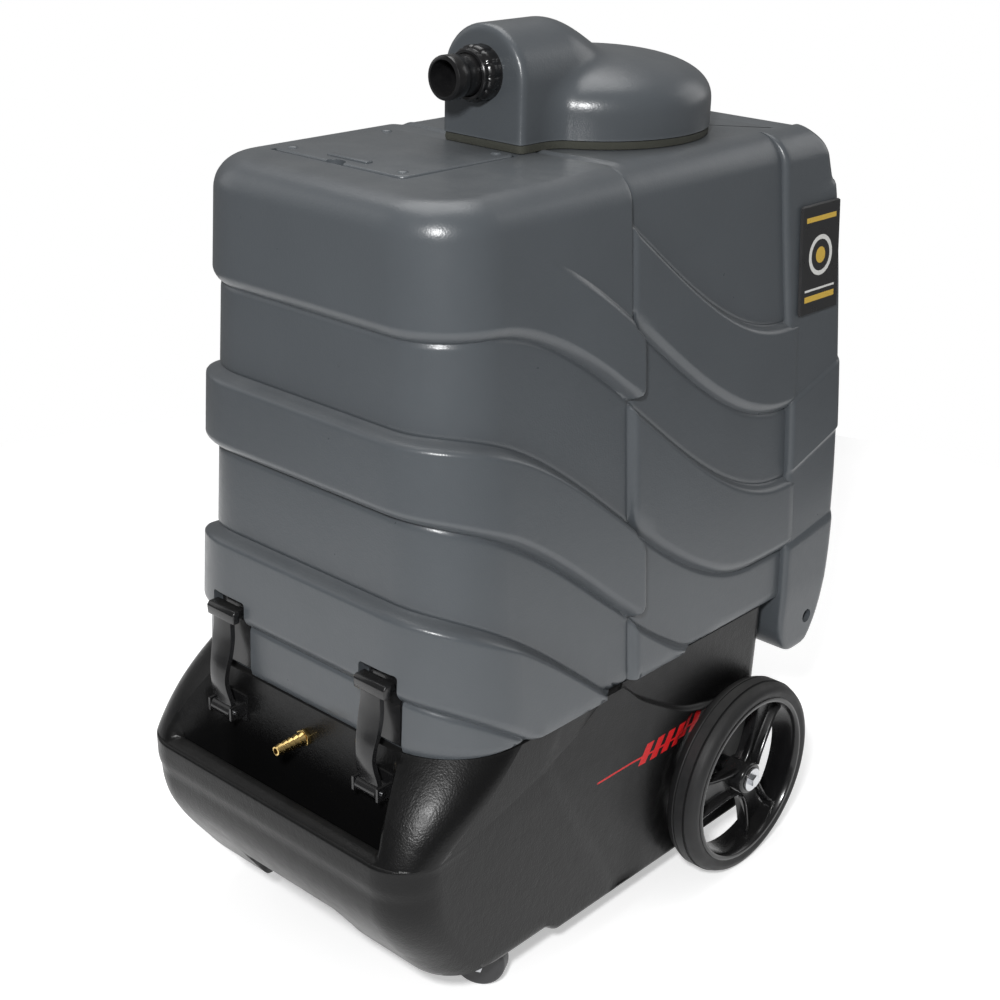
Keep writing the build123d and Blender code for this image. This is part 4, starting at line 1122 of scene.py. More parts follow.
@dataclass
class Wing:
    """One of the two rear wings that reach down to the hinge."""

    tank: Tank
    side: int
    back_edge: tuple = ((0.250, 0.322), (0.256, 0.340), (0.268, 0.352), (0.290, 0.364), (0.314, 0.372),
                        (0.382, 0.386), (0.462, 0.390), (0.534, 0.3895), (0.664, 0.384), (0.740, 0.378),
                        (0.804, 0.370), (0.860, 0.360), (0.890, 0.349), (0.911, 0.328))
    front_edge: tuple = ((0.250, 0.304), (0.256, 0.290), (0.264, 0.280), (0.284, 0.271), (0.330, 0.272),
                         (0.420, 0.277), (0.600, 0.277), (0.676, 0.269), (0.760, 0.262), (0.839, 0.256),
                         (0.911, 0.252))
    rise: float = 0.32
    rise_from: float = 0.256
    stand: float = 0.0075
    row_step: float = 0.0028

    def __post_init__(self) -> None:
        """Set out the ring and the rows."""
        ring: list[tuple[str, float]] = [("nose", t) for t in spread(0, 1, 7)]
        ring += [("outer", t) for t in spread(0, 1, 13)[1:-1]]
        ring += [("rear", t) for t in spread(0, 1, 11)] + [("back", 0.5)]
        ring += [("lee", t) for t in spread(0, 1, 5)] + [("inner", 0.5), ("root", 0), ("root", 1)]
        self.ring = ring + ring[:1]
        base = self.tank.seam - 0.0845
        self.lines = [self.tank.wave(self.tank.lines[k], self.rise_from) for k in (1, 2, 3)]
        rows = [(base, 0.010), (base + 0.0008, 0.007), (base + 0.003, 0.0035), (base + 0.006, 0.0012),
                (base + 0.010, 0.0)]
        marks = {z + d for z in self.lines
                 for d in (-0.012, -0.008, -0.006, -0.004, -0.002, 0, 0.002, 0.004)}
        top = self.tank.top - self.tank.crown
        marks |= set(spread(base + 0.018, top, 46))
        rows += [(z, 0.0) for z in sorted(marks) if z <= top]
        rows += [(top + self.tank.crown * math.sin(math.radians(a)),
                  self.tank.crown * (1 - math.cos(math.radians(a)))) for a in spread(6, 90, 13)]
        self.rows = rows

    def place(self, column: int, row: int) -> Vector:
        """A point of the wing's skin.

        Args:
            column: Which point across.
            row: Which point up.

        Returns:
            The point's place.
        """
        part, t = self.ring[column]
        z, inset = self.rows[row]
        crowned = z > self.tank.top - self.tank.crown
        y0, y1 = curve(self.front_edge, z), curve(self.back_edge, z)
        x1 = self.face_x(z) - inset
        x0 = self.tank.inner
        if not crowned and inset:
            x0, y0, y1 = x0 + inset * 0.5, y0 + inset * 0.3, y1 - inset * 0.3
        room = max(min(y1 - y0, x1 - x0) * 0.45, 0.001)
        nose, rear, lee = min(0.007, room), min(0.017, room), min(0.008, room)
        a = t * QUARTER
        if part == "nose":
            spot = (x1 - nose + nose * math.sin(a), y0 + nose - nose * math.cos(a))
        elif part == "outer":
            spot = (x1, mix(y0 + nose, y1 - rear, t))
        elif part == "rear":
            spot = (x1 - rear + rear * math.cos(a), y1 - rear + rear * math.sin(a))
        elif part == "back":
            spot = (mix(x1 - rear, x0 + lee, t), y1)
        elif part == "lee":
            spot = (x0 + lee - lee * math.sin(a), y1 - lee + lee * math.cos(a))
        elif part == "inner":
            spot = (x0, mix(y1 - lee, y0, t))
        else:
            spot = (mix(x0, x1 - nose, t * 0.9), y0)
        window = ease((z - 0.36) / 0.08) * ease((0.86 - z) / 0.06)
        lift = self.rise * (spot[1] - self.rise_from) * window
        return Vector((self.side * spot[0], spot[1], z + lift))

    def build(self) -> None:
        """Make the wing with its hinge bore, and the plate on its face."""
        body = sheet(len(self.ring), len(self.rows), self.place)
        cap(body)
        word = "right" if self.side > 0 else "left"
        rod_low, rod_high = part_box("hinge_rod")
        middle = (rod_low + rod_high) / 2
        bore = (rod_high.z - rod_low.z) / 2 + 0.003
        hole = drum(bore, 0.13, 0.30, Vector((0, middle.y, middle.z)), Vector((self.side, 0, 0)), 40)
        body = carve(body, [hole])
        piece(f"wing_{word}", body, "tank", TANK_GREY, sharp=CREASE)
        self.label(word)

    def face_x(self, z: float) -> float:
        """How far out the wing's outer face stands at a height.

        Args:
            z: Height of the point.

        Returns:
            The distance from the middle plane.
        """
        bands = sum((1 if k % 2 == 0 else -1) * swell((line - z) / 0.007)
                    for k, line in enumerate(self.lines))
        return self.tank.plan(max(z, self.tank.seam)).half + self.stand + self.row_step * bands

    def label(self, word: str) -> None:
        """Make the printed plate that lies on the outer face.

        Args:
            word: Which side, left or right.
        """
        low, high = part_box("side_labels")
        ys = [low.y, low.y + 0.0006, *spread(low.y + 0.002, high.y - 0.002, 8), high.y - 0.0006, high.y]
        zs = [low.z, low.z + 0.0006, *spread(low.z + 0.002, high.z - 0.002, 14), high.z - 0.0006, high.z]

        def place(column: int, row: int) -> Vector:
            """A point of the plate's face.

            Args:
                column: Which point across.
                row: Which point up.

            Returns:
                The point's place.
            """
            edge = column in (0, len(ys) - 1) or row in (0, len(zs) - 1)
            lift = self.rise * (ys[column] - self.rise_from)
            face = self.face_x(zs[row] - lift) + (0.0004 if edge else 0.0016)
            return Vector((self.side * face, ys[column], zs[row]))

        plate = sheet(len(ys), len(zs), place)
        bmesh.ops.solidify(plate, geom=plate.faces[:], thickness=0.003 * -self.side)
        bmesh.ops.recalc_face_normals(plate, faces=plate.faces)
        piece(f"plate_{word}", plate, "tank", PLATE_PRINT, ["side_labels"])


# ---- lids and hose inlet ----

@dataclass
class Dome:
    """The lift-off dome with its inlet hood, the gasket below it and the hose tube."""

    top: float
    radius: float = 0.138
    centre_y: float = 0.1256
    rise: float = 0.079
    shoulder: float = 0.025
    power: float = 2.5
    hood_half: float = 0.058
    hood_front: float = -0.056
    hood_rise: float = 0.120
    ridge_end: float = 0.030
    hood_end: float = 0.152
    heart: float = 0.060
    heart_rise: float = 0.030
    fillet: float = 0.016
    wall: float = 0.004
    columns: int = 240

    @staticmethod
    def _soft(a: float, b: float, width: float, sign: int) -> float:
        """Smooth minimum (sign 1) or maximum (sign -1) of two distances."""
        h = max(width - abs(a - b), 0.0) / width
        return (min(a, b) if sign > 0 else max(a, b)) - sign * h * h * width / 4

    def distance(self, x: float, y: float, h: float) -> float:
        """Roughly how far a point is outside the dome; negative inside.

        Args:
            x: The point's x.
            y: The point's y.
            h: Its height above the foot.

        Returns:
            The distance.
        """
        flat = math.hypot(x, y - self.centre_y) / self.radius
        up = max(h - self.shoulder, 0.0) / (self.rise - self.shoulder)
        dome = ((flat ** self.power + up ** self.power) ** (1 / self.power) - 1) * 0.09
        behind = ease((y - self.ridge_end) / (self.hood_end - self.ridge_end))
        sink = (self.hood_rise - self.rise + 0.004) * behind
        spring = self.hood_rise - self.hood_half
        high = h + sink - spring
        arch = math.hypot(x, high) - self.hood_half if high > 0 else abs(x) - self.hood_half
        arch = self._soft(arch, self.hood_front - y, 0.007, -1)
        arch = self._soft(arch, y - self.hood_end, 0.007, -1)
        return self._soft(dome, arch, self.fillet * ease((y - self.hood_front) / 0.03 - 0.2) + 1e-4, 1)

    def reach(self, away: Vector, base: float) -> float:
        """Distance from the heart to the skin in a direction.

        Args:
            away: The direction, of length 1.
            base: Height of the starting point.

        Returns:
            The distance.
        """
        low, high = 0.0, 0.3
        for _ in range(26):
            mid = (low + high) / 2
            p = away * mid
            if self.distance(p.x, p.y + self.heart, base + p.z) < 0:
                low = mid
            else:
                high = mid
        return (low + high) / 2

    def rim(self, column: int) -> float:
        """Level distance from the heart's axis to the skin's foot at one column."""
        a = math.tau * column / self.columns
        return self.reach(Vector((math.sin(a), -math.cos(a), 0)), 0.0)

    def build(self) -> None:
        """Make the dome, the gasket, the tube and its collar."""
        rims = [self.rim(i) for i in range(self.columns)]
        rows = spread(0, 1, 84)
        base = self.top + 0.010

        def place(column: int, row: int) -> Vector:
            """A point of the dome's skin.

            Args:
                column: Which point across.
                row: Which point up.

            Returns:
                The point's place.
            """
            i = column % self.columns
            a = math.tau * i / self.columns
            low = math.atan2(-self.heart_rise, rims[i])
            e = mix(low, QUARTER, rows[row])
            away = Vector((math.sin(a) * math.cos(e), -math.cos(a) * math.cos(e), math.sin(e)))
            p = away * self.reach(away, self.heart_rise)
            if row == 0:
                p = Vector((math.sin(a) * rims[i], -math.cos(a) * rims[i], -self.heart_rise))
            return Vector((p.x, p.y + self.heart, base + self.heart_rise + p.z))

        dome = sheet(self.columns + 1, len(rows), place)
        bmesh.ops.solidify(dome, geom=dome.faces[:], thickness=self.wall)
        bmesh.ops.recalc_face_normals(dome, faces=dome.faces)
        tube_low, tube_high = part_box("inlet_tube")
        axis_z, tube_r = (tube_low.z + tube_high.z) / 2, (tube_high.x - tube_low.x) / 2
        hole = drum(tube_r, -0.02, 0.02, Vector((0, self.hood_front, axis_z)), Vector((0, 1, 0)), 48)
        dome = carve(dome, [hole])
        piece("dome_cover", dome, "dome", TANK_GREY, ["dome_lid"], sharp=math.radians(55))
        band = ((0.004, 0.0), (0.0015, 0.001), (0.0008, 0.0045), (0.0015, 0.0085), (0.004, 0.0095),
                (0.014, 0.0095), (0.014, 0.0))

        def ring_place(column: int, row: int) -> Vector:
            """A point of the gasket.

            Args:
                column: Which point across.
                row: Which point up.

            Returns:
                The point's place.
            """
            inset, h = band[row % len(band)]
            i = column % self.columns
            a = math.tau * i / self.columns
            r = rims[i] - inset
            return Vector((math.sin(a) * r, -math.cos(a) * r + self.heart, self.top + h))

        gasket = sheet(self.columns + 1, len(band) + 1, ring_place)
        piece("dome_gasket", gasket, "dome", SEAL_FOAM, ["lid_gasket"])
        bore = tube_r - 0.0045
        outline = [(bore, 0), (tube_r - 0.0022, 0), (tube_r - 0.0005, 0.0012), (tube_r, 0.003),
                   (tube_r, 0.016), (tube_r - 0.0015, 0.019), (tube_r - 0.0022, 0.030),
                   (tube_r - 0.0012, 0.036), (tube_r - 0.0008, 0.084), (bore, 0.084)]
        tube = turned(outline, Vector((0, tube_low.y, axis_z)), Vector((0, 1, 0)))
        piece("hose_tube", tube, "dome", GLOSS_BLACK, ["inlet_tube"])
        low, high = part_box("inlet_collar")
        r, long = (high.x - low.x) / 2, high.y - low.y
        outline = [(tube_r - 0.0006, 0), (r - 0.0045, 0), (r - 0.0035, 0.001), (r - 0.003, 0.006),
                   (r - 0.001, 0.0075), (r, 0.009), (r, long - 0.006), (r - 0.0008, long - 0.004), (r, long),
                   (tube_r - 0.0006, long)]
        collar = turned(outline, Vector((0, low.y, axis_z)), Vector((0, 1, 0)), 144)
        for vert in collar.verts:
            away = Vector((vert.co.x, 0, vert.co.z - axis_z))
            if away.length > tube_r + 0.003 and 0.004 < vert.co.y - low.y < long - 0.003:
                turn = math.atan2(away.z, away.x) * 12
                vert.co -= away.normalized() * 0.0012 * max(math.cos(turn), 0.0) ** 3
        piece("hose_collar", collar, "dome", GLOSS_BLACK, ["inlet_collar"])


@dataclass
class FillLid:
    """The flush lid over the clean-water chamber."""

    notch_r: float = 0.013
    corner: float = 0.012
    proud: float = 0.0022

    def build(self) -> None:
        """Make the lid with its finger notch and moulded corner pads."""
        low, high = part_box("fill_lid")
        plug = 0.005
        lid = block(Vector((low.x, low.y, low.z + plug)), Vector((high.x, high.y, high.z + self.proud)), 0)
        upright = [e for e in lid.edges if abs(e.verts[0].co.z - e.verts[1].co.z) > 0.002]
        bmesh.ops.bevel(lid, geom=upright, offset=self.corner, segments=6, profile=0.5, affect="EDGES",
                        material=-1)
        rims = [e for e in lid.edges if min(v.co.z for v in e.verts) > high.z
                and abs(e.verts[0].co.z - e.verts[1].co.z) < 1e-6]
        bmesh.ops.bevel(lid, geom=rims, offset=0.0022, segments=4, profile=0.5, affect="EDGES", material=-1)
        inset = 0.0112
        lower = block(Vector((low.x + inset, low.y + inset, low.z)),
                      Vector((high.x - inset, high.y - inset, low.z + plug + 0.001)), 0.002)
        mid = (low.x + high.x) / 2
        notch = drum(self.notch_r, -0.02, 0.02, Vector((mid, low.y - 0.002, high.z)), Vector((0, 0, 1)), 40)
        lid = carve(lid, [notch])
        parts = [lid, lower]
        pad = [(0, 0.0016), (0.0045, 0.0016), (0.006, 0.0004), (0.0064, -0.001), (0, -0.001)]
        edge, face = 0.016, high.z + self.proud
        for y in (low.y + edge, high.y - edge):
            for x in (low.x + edge, high.x - edge):
                parts.append(turned(pad, Vector((x, y, face)), Vector((0, 0, 1)), 28, closed=False))
        parts.append(block(Vector((mid - 0.03, low.y + edge, face - 0.001)),
                           Vector((mid + 0.03, low.y + edge + 0.010, face + 0.0022)), 0.0018))
        piece("water_lid", merged(*parts), "fill_cover", TANK_GREY, ["fill_lid"], sharp=CREASE)


# ---- base ----

@dataclass
class Base:
    """The moulded base: lobes, grip bar, finger scoop, saddle sides and open inside."""

    bar: float
    front: float
    rear: float
    half: float
    seam: float
    floor: float
    axle: Vector
    wheel_r: float
    sides_from: float = -0.333
    bar_corner: float = 0.055
    seam_corner: float = 0.105
    heel: float = 0.025
    bar_top: float = 0.245
    tunnel_half: float = 0.084
    tunnel_top: float = 0.119
    tunnel_end: float = -0.158
    well: tuple[float, float, float, float] = (0.152, -0.230, 0.050, 0.096)
    saddle: float = 0.008
    rim_width: float = 0.015
    prow: tuple = ((0.050, -0.293), (0.054, -0.302), (0.062, -0.312), (0.076, -0.324), (0.095, -0.338),
                   (0.118, -0.355), (0.138, -0.368), (0.160, -0.379), (0.180, -0.3845), (0.200, -0.3865),
                   (0.206, -0.3868))
    ridge: tuple = ((-0.335, 0.240), (-0.300, 0.245), (-0.200, 0.272), (-0.120, 0.300), (-0.056, 0.334),
                    (-0.001, 0.296), (0.039, 0.272), (0.081, 0.249), (0.123, 0.236), (0.166, 0.229),
                    (0.210, 0.225), (0.262, 0.222))
    scoop: tuple = ((0.00, -0.3860, 0.2402), (0.03, -0.3835, 0.2418), (0.10, -0.3770, 0.2440),
                    (0.17, -0.3700, 0.2442), (0.21, -0.3675, 0.2428), (0.25, -0.3662, 0.2390),
                    (0.32, -0.3655, 0.2250), (0.42, -0.3635, 0.2000), (0.50, -0.3600, 0.1800),
                    (0.56, -0.3555, 0.1690), (0.62, -0.3490, 0.1625), (0.70, -0.3400, 0.1600),
                    (0.76, -0.3320, 0.1625), (0.81, -0.3272, 0.1720), (0.85, -0.3250, 0.1900),
                    (0.90, -0.3240, 0.2300), (0.95, -0.3234, 0.2800), (1.00, -0.3230, 0.3340))

    def __post_init__(self) -> None:
        """Set out the ring and the rows."""
        half = [(Zone.FRONT, x / 0.168) for x in
                (0, .018, .036, .054, .066, .073, .077, .080, .083, .086, .090, .096, .104, .112, .120, .128,
                 .136, .144, .152, .160, .168)]
        half += [(Zone.CORNER, t) for t in spread(0, 1, 27)[1:]]
        sides = spread(self.sides_from, -0.162, 20) + spread(-0.155, -0.126, 7) + spread(-0.118, -0.064, 7)
        sides += [-0.058, -0.056, -0.054, -0.050, -0.045] + spread(-0.038, self.rear - self.heel - 0.001, 34)
        half += [(Zone.SIDE, y) for y in sides] + [(Zone.HEEL, t) for t in spread(0, 1, 8)[1:]]
        half += [(Zone.BACK, t) for t in spread(0, 1, 12)[1:]]
        self.ring = full_ring(half)
        rows: list[tuple[str, float]] = [("under", q) for q in spread(1, 0, 15)[:-1]]
        rows += [("foot", a) for a in spread(0, 80, 6)]
        rows += [("wall", t) for t in spread(0, 1, 26)]
        rows += [("lip", a) for a in spread(15, 90, 6)]
        low_rows = (0.012, 0.025, 0.04, 0.055, 0.07, 0.085)
        scoop_rows = [t for t, _y, _z in self.scoop]
        rows += [("over", t) for t in sorted({*low_rows, *scoop_rows, *spread(0, 0.98, 30)[1:]})]
        rows += [("rim", q) for q in (0.0, 0.15, 0.5, 1.0)]
        rows += [("inside", t) for t in (0.02, 0.1, 0.3, 0.5, 0.7, 0.9, 1.0)]
        rows += [("deck", q) for q in (0.1, 0.3, 0.5, 0.7, 0.85, 1.0)]
        self.rows = rows

    def lower_z(self, y: float) -> float:
        """Height of the bottom edge: raised ahead of the notch."""
        return mix(0.054, self.floor, ease((y + 0.156) / 0.026))

    def plan(self, z: float, inset: float = 0.0) -> Plan:
        """Outline of the outer wall up to the bar.

        Args:
            z: The height.
            inset: How far inside the wall the outline runs.

        Returns:
            The outline.
        """
        share = clamp((z - self.floor) / (self.bar_top - self.floor))
        nose = curve(self.prow, z) if z < 0.206 else mix(-0.3868, self.bar, ease((z - 0.206) / 0.004))
        return Plan(mix(self.half - 0.009, self.half - 0.003, share) - inset, nose + inset,
                    self.rear - inset, self.bar_corner, self.heel)

    def knee(self, station: Station) -> float:
        """Height where the outer wall ends and the upper surface begins.

        Args:
            station: Which column of the ring.

        Returns:
            The height.
        """
        if station.zone is Zone.SIDE:
            return curve(self.ridge, station.at)
        if station.zone in (Zone.HEEL, Zone.BACK):
            return 0.222
        return 0.240

    def wall_spot(self, station: Station, z: float, inset: float = 0.0) -> tuple[Vector, Vector]:
        """A point of the outer wall and its outward direction; side columns start behind the corner.

        Args:
            station: Which column of the ring.
            z: Height of the point.
            inset: How far inside the wall the point lies.

        Returns:
            The point and the direction, both level.
        """
        plan, free = self.plan(z, inset), -0.110
        y = station.at
        if station.zone is Zone.SIDE and y < free:
            start = plan.front + plan.corner
            y = mix(start, free, (y - self.sides_from) / (free - self.sides_from))
        return plan.spot(station, y)

    def place(self, column: int, row: int) -> Vector:
        """A point of the base's skin.

        Args:
            column: Which point across.
            row: Which point up.

        Returns:
            The point's place.
        """
        station, (kind, t) = self.ring[column], self.rows[row]
        knee = self.knee(station)
        if kind == "under":
            edge, _ = self.wall_spot(station, 0.050, 0.012)
            spot = edge.lerp(Vector((0, clamp(edge.y, -0.20, 0.12), 0)), t)
            return self.dented(Vector((spot.x, spot.y, self.lower_z(spot.y))))
        if kind == "foot":
            a = math.radians(t)
            spot, _ = self.wall_spot(station, 0.050, 0.012 * (1 - math.sin(a)))
            return self.dented(Vector((spot.x, spot.y, self.lower_z(spot.y) + 0.010 * (1 - math.cos(a)))))
        if kind == "wall":
            spot, _ = self.wall_spot(station, 0.050)
            low = self.lower_z(spot.y) + 0.010
            z = mix(low, knee - 0.004, t)
            spot, out = self.wall_spot(station, z)
            spot = spot - out * self.crease(station, z)
            return self.dented(Vector((spot.x, spot.y, z)))
        return self.upper(station, kind, t, knee)

    def crease(self, station: Station, z: float) -> float:
        """How far the side wall sits in behind the slanting facet line.

        Args:
            station: Which column of the ring.
            z: Height of the point.

        Returns:
            The distance.
        """
        if station.zone is not Zone.SIDE:
            return 0.0
        line = -0.198 + (0.324 - z) * 0.59
        return 0.0022 * ease((station.at - line) / 0.010) * (1 - ease((station.at + 0.02) / 0.05))

    def upper(self, station: Station, kind: str, t: float, knee: float) -> Vector:
        """A point above the knee: shoulder, scoop, saddle wall, rim or inside.

        Args:
            station: Which column of the ring.
            kind: Name of the row's part of the wall.
            t: Place in that part.
            knee: Height of the knee at this column.

        Returns:
            The point.
        """
        bar, out = self.wall_spot(station, self.bar_top)
        rim = Plan(self.half, self.front, self.rear, self.seam_corner, self.heel)
        seam, seam_out = rim.spot(station, self.seam_y(station))
        saddle = self.saddle * self.saddle_share(station)
        if kind == "lip":
            a = math.radians(t)
            spot = bar - out * 0.004 * self.lip_share(station) * (1 - math.cos(a))
            spot = spot - out * self.crease(station, knee)
            return self.dented(Vector((spot.x, spot.y, knee - 0.004 + 0.004 * math.sin(a))))
        if kind == "over":
            side_like = station.zone in (Zone.SIDE, Zone.HEEL, Zone.BACK)
            z = mix(knee, self.seam, t if side_like else t ** 0.92)
            tall = max(self.seam - knee, 1e-4)
            drop = ease(t * tall / 0.0065)
            crown = 0.006 * math.sin(math.pi * t) * (0.0 if side_like else 1.0)
            spot = (bar - out * 0.004 * self.lip_share(station)).lerp(seam, t)
            spot = spot + seam_out * crown - seam_out * saddle * drop
            spot = spot - out * self.crease(station, z) * (1 - t)
            share = self.scoop_share(station)
            point = Vector((spot.x, spot.y, z))
            if share:
                deep = Vector((spot.x, curve([(p[0], p[1]) for p in self.scoop], t),
                               curve([(p[0], p[2]) for p in self.scoop], t)))
                point = point.lerp(deep, share)
            return point
        if kind == "rim":
            spot = seam - seam_out * (saddle + mix(0.0, self.rim_width - saddle, t))
            return Vector((spot.x, spot.y, self.seam - (0.0012 if t == 0 else 0.0)))
        spot = seam - seam_out * self.rim_width
        deck = self.deck_z(spot.y)
        if kind == "inside":
            return Vector((spot.x, spot.y, mix(self.seam - 0.001, deck, t)))
        flat = spot.lerp(Vector((0, clamp(spot.y, -0.12, 0.12), 0)), t)
        return Vector((flat.x, flat.y, self.deck_z(flat.y)))

    def deck_z(self, y: float) -> float:
        """Height of the inner floor: above the tunnel and caster wells in front, low behind."""
        return mix(0.128, self.floor + 0.0045, ease((y + 0.150) / 0.012))

    def seam_y(self, station: Station) -> float:
        """The y of a side column at the seam, beyond the seam's larger corners.

        Args:
            station: Which column of the ring.

        Returns:
            The y, or 0 for a column that is not on a side.
        """
        if station.zone is not Zone.SIDE:
            return 0.0
        start, wide, free = self.sides_from, self.front + self.seam_corner, -0.100
        return mix(wide, free, (station.at - start) / (free - start)) if station.at < free else station.at

    def saddle_share(self, station: Station) -> float:
        """Where the upper side wall is set back.

        Args:
            station: Which column of the ring.

        Returns:
            1 where it is fully set back, 0 where it is not.
        """
        if station.zone is Zone.SIDE:
            return ease((station.at + 0.062) / 0.022)
        if station.zone is Zone.HEEL:
            return 1 - ease(station.at)
        return 0.0

    def lip_share(self, station: Station) -> float:
        """How much of the bar's edge rounding a column has; it fades round the corner.

        Args:
            station: Which column of the ring.

        Returns:
            The share.
        """
        if station.zone is Zone.FRONT:
            return 1.0
        return 1 - ease(station.at / 0.7) if station.zone is Zone.CORNER else 0.0

    def scoop_share(self, station: Station) -> float:
        """1 inside the finger scoop, 0 on the shoulders, with slanting sides between.

        Args:
            station: Which column of the ring.

        Returns:
            The share.
        """
        if station.zone is Zone.FRONT:
            return 1.0
        if station.zone is Zone.CORNER:
            return 1 - ease((station.at - 0.02) / 0.13)
        return 0.0

    def dented(self, p: Vector) -> Vector:
        """Press the tunnel, the caster wells and the wheel wells into a point of the wall.

        Args:
            p: The point.

        Returns:
            The point, moved where a hollow needs it.
        """
        lift = 0.0
        if p.y < self.tunnel_end + 0.012:
            lift = self.tunnel_top * ease((self.tunnel_half + 0.009 - abs(p.x)) / 0.018) * ease(
                (self.tunnel_end + 0.012 - p.y) / 0.012)
        x, y, r, ceiling = self.well
        far = math.hypot(abs(p.x) - x, p.y - y)
        if p.z < ceiling and far < r + 0.006:
            lift = max(lift, ceiling * ease((r + 0.006 - far) / 0.006))
        reach = math.hypot(p.y - self.axle.y, p.z - self.axle.z)
        limit = self.half - 0.0095 + 0.02 * ease((reach - self.wheel_r - 0.006) / 0.010)
        if p.y > 0 and abs(p.x) > limit and p.y < self.rear - 0.004:
            p = Vector((math.copysign(limit, p.x), p.y, p.z))
        return Vector((p.x, p.y, max(p.z, lift)))

    def build(self) -> None:
        """Make the base body and the small foot below the front lip."""
        body = sheet(len(self.ring), len(self.rows), self.place)
        cap(body)
        piece("base_body", body, "base", BASE_BLACK, ["base_tub"], sharp=math.radians(48))
        low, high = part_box("front_foot")
        piece("tie_foot", block(low - Vector((0, 0.004, 0.006)), high, 0.004), "base", BASE_BLACK,
              ["front_foot"])


# ---- wheels ----

@dataclass
class RearWheel:
    """One big wheel: rubber tyre and deep three-spoked rim."""

    word: str
    side: int
    tyre_depth: float = 0.018
    spokes: int = 3
    hub_r: float = 0.021
    wall: float = 0.0042

    def build(self) -> None:
        """Make the tyre and the rim."""
        low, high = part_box(f"tyre_{self.word}")
        middle, r = (low + high) / 2, (high.z - low.z) / 2
        half = (high.x - low.x) / 2
        axis = Vector((self.side, 0, 0))
        inner = r - self.tyre_depth
        tyre = [(inner, -half + 0.001), (inner + 0.004, -half + 0.0002), (r - 0.010, -half + 0.0004),
                (r - 0.0045, -half + 0.003), (r - 0.0018, -half + 0.008), (r - 0.0004, -half + 0.014)]
        for groove in (-0.0075, 0.0075):
            tyre += [(r, groove - 0.0016), (r - 0.0022, groove - 0.0008), (r - 0.0022, groove + 0.0008),
                     (r, groove + 0.0016)]
        tyre += [(r - 0.0004, half - 0.014), (r - 0.0018, half - 0.008), (r - 0.0045, half - 0.003),
                 (r - 0.010, half - 0.0004), (inner + 0.0055, half - 0.0002), (inner + 0.003, half - 0.0012),
                 (inner, half - 0.002)]
        body = f"{self.word}_wheel"
        piece(f"wheel_tyre_{self.word}", turned(tyre, middle, axis, 120), body, TYRE_RUBBER,
              [f"tyre_{self.word}"], sharp=math.radians(60))
        rim_in = inner - 0.0065
        hoop = [(rim_in, -half + 0.003), (inner - 0.0003, -half + 0.0015), (inner - 0.0003, half - 0.0015),
                (inner - 0.0022, half - 0.0006), (rim_in + 0.0012, half - 0.0008), (rim_in, half - 0.0022),
                (rim_in - 0.0012, half - 0.010), (rim_in - 0.0018, 0.0), (rim_in - 0.0012, -half + 0.010)]
        low_b, high_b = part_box(f"hub_bush_{self.word}")
        bore = (high_b.z - low_b.z) / 2 + 0.0001
        start = self.side * ((low_b.x if self.side > 0 else high_b.x) - middle.x)
        stop = self.side * ((high_b.x if self.side > 0 else low_b.x) - middle.x)
        hub = [(bore, start), (self.hub_r, start), (self.hub_r, stop - 0.003),
               (self.hub_r - 0.001, stop - 0.001), (self.hub_r - 0.0025, stop), (bore + 0.001, stop),
               (bore, stop - 0.001)]
        parts = [turned(hoop, middle, axis, 120), turned(hub, middle, axis, 72)]
        for k in range(self.spokes):
            parts.append(self.spoke(middle, math.pi / 3 + math.tau * k / self.spokes, rim_in))
        piece(f"wheel_disc_{self.word}", merged(*parts), body, GLOSS_BLACK,
              [f"wheel_rim_{self.word}"], sharp=math.radians(48))

    def spoke(self, middle: Vector, angle: float, rim_in: float) -> bmesh.types.BMesh:
        """One spoke: a wide channel with raised edges.

        Args:
            middle: The wheel's middle.
            angle: Where the spoke points, from +Y towards +Z.
            rim_in: Inner radius of the rim's hoop.

        Returns:
            The spoke's mesh.
        """
        out = Vector((0, math.cos(angle), math.sin(angle)))
        across = Vector((0, -math.sin(angle), math.cos(angle)))
        profile = ((-1.0, -0.004), (-1.0, 0.0115), (-0.98, 0.0130), (-0.92, 0.0138), (-0.85, 0.0130),
                   (-0.80, 0.0105), (-0.76, 0.0045), (-0.72, 0.0020), (-0.6, 0.0010), (0.0, 0.0005))
        profile = profile + tuple((-u, h) for u, h in reversed(profile[:-1]))

        def place(column: int, row: int) -> Vector:
            """A point of the spoke's face.

            Args:
                column: Which point across.
                row: Which point up.

            Returns:
                The point's place.
            """
            u, h = profile[column]
            t = row / 12
            r = mix(self.hub_r - 0.002, rim_in + 0.002, t)
            flare = 0.010 * math.exp(-t * 9) * 0.4
            width = mix(0.0155, 0.0300, t ** 1.4) + flare + 0.007 * math.exp(-(1 - t) * 9)
            depth = h * mix(1.0, 0.85, t) - 0.004 * ease(t)
            return middle + out * r + across * (u * width) + Vector((self.side * depth, 0, 0))

        bm = sheet(len(profile), 13, place)
        bmesh.ops.solidify(bm, geom=bm.faces[:], thickness=self.wall)
        bmesh.ops.recalc_face_normals(bm, faces=bm.faces)
        return bm


# ---- small fittings ----

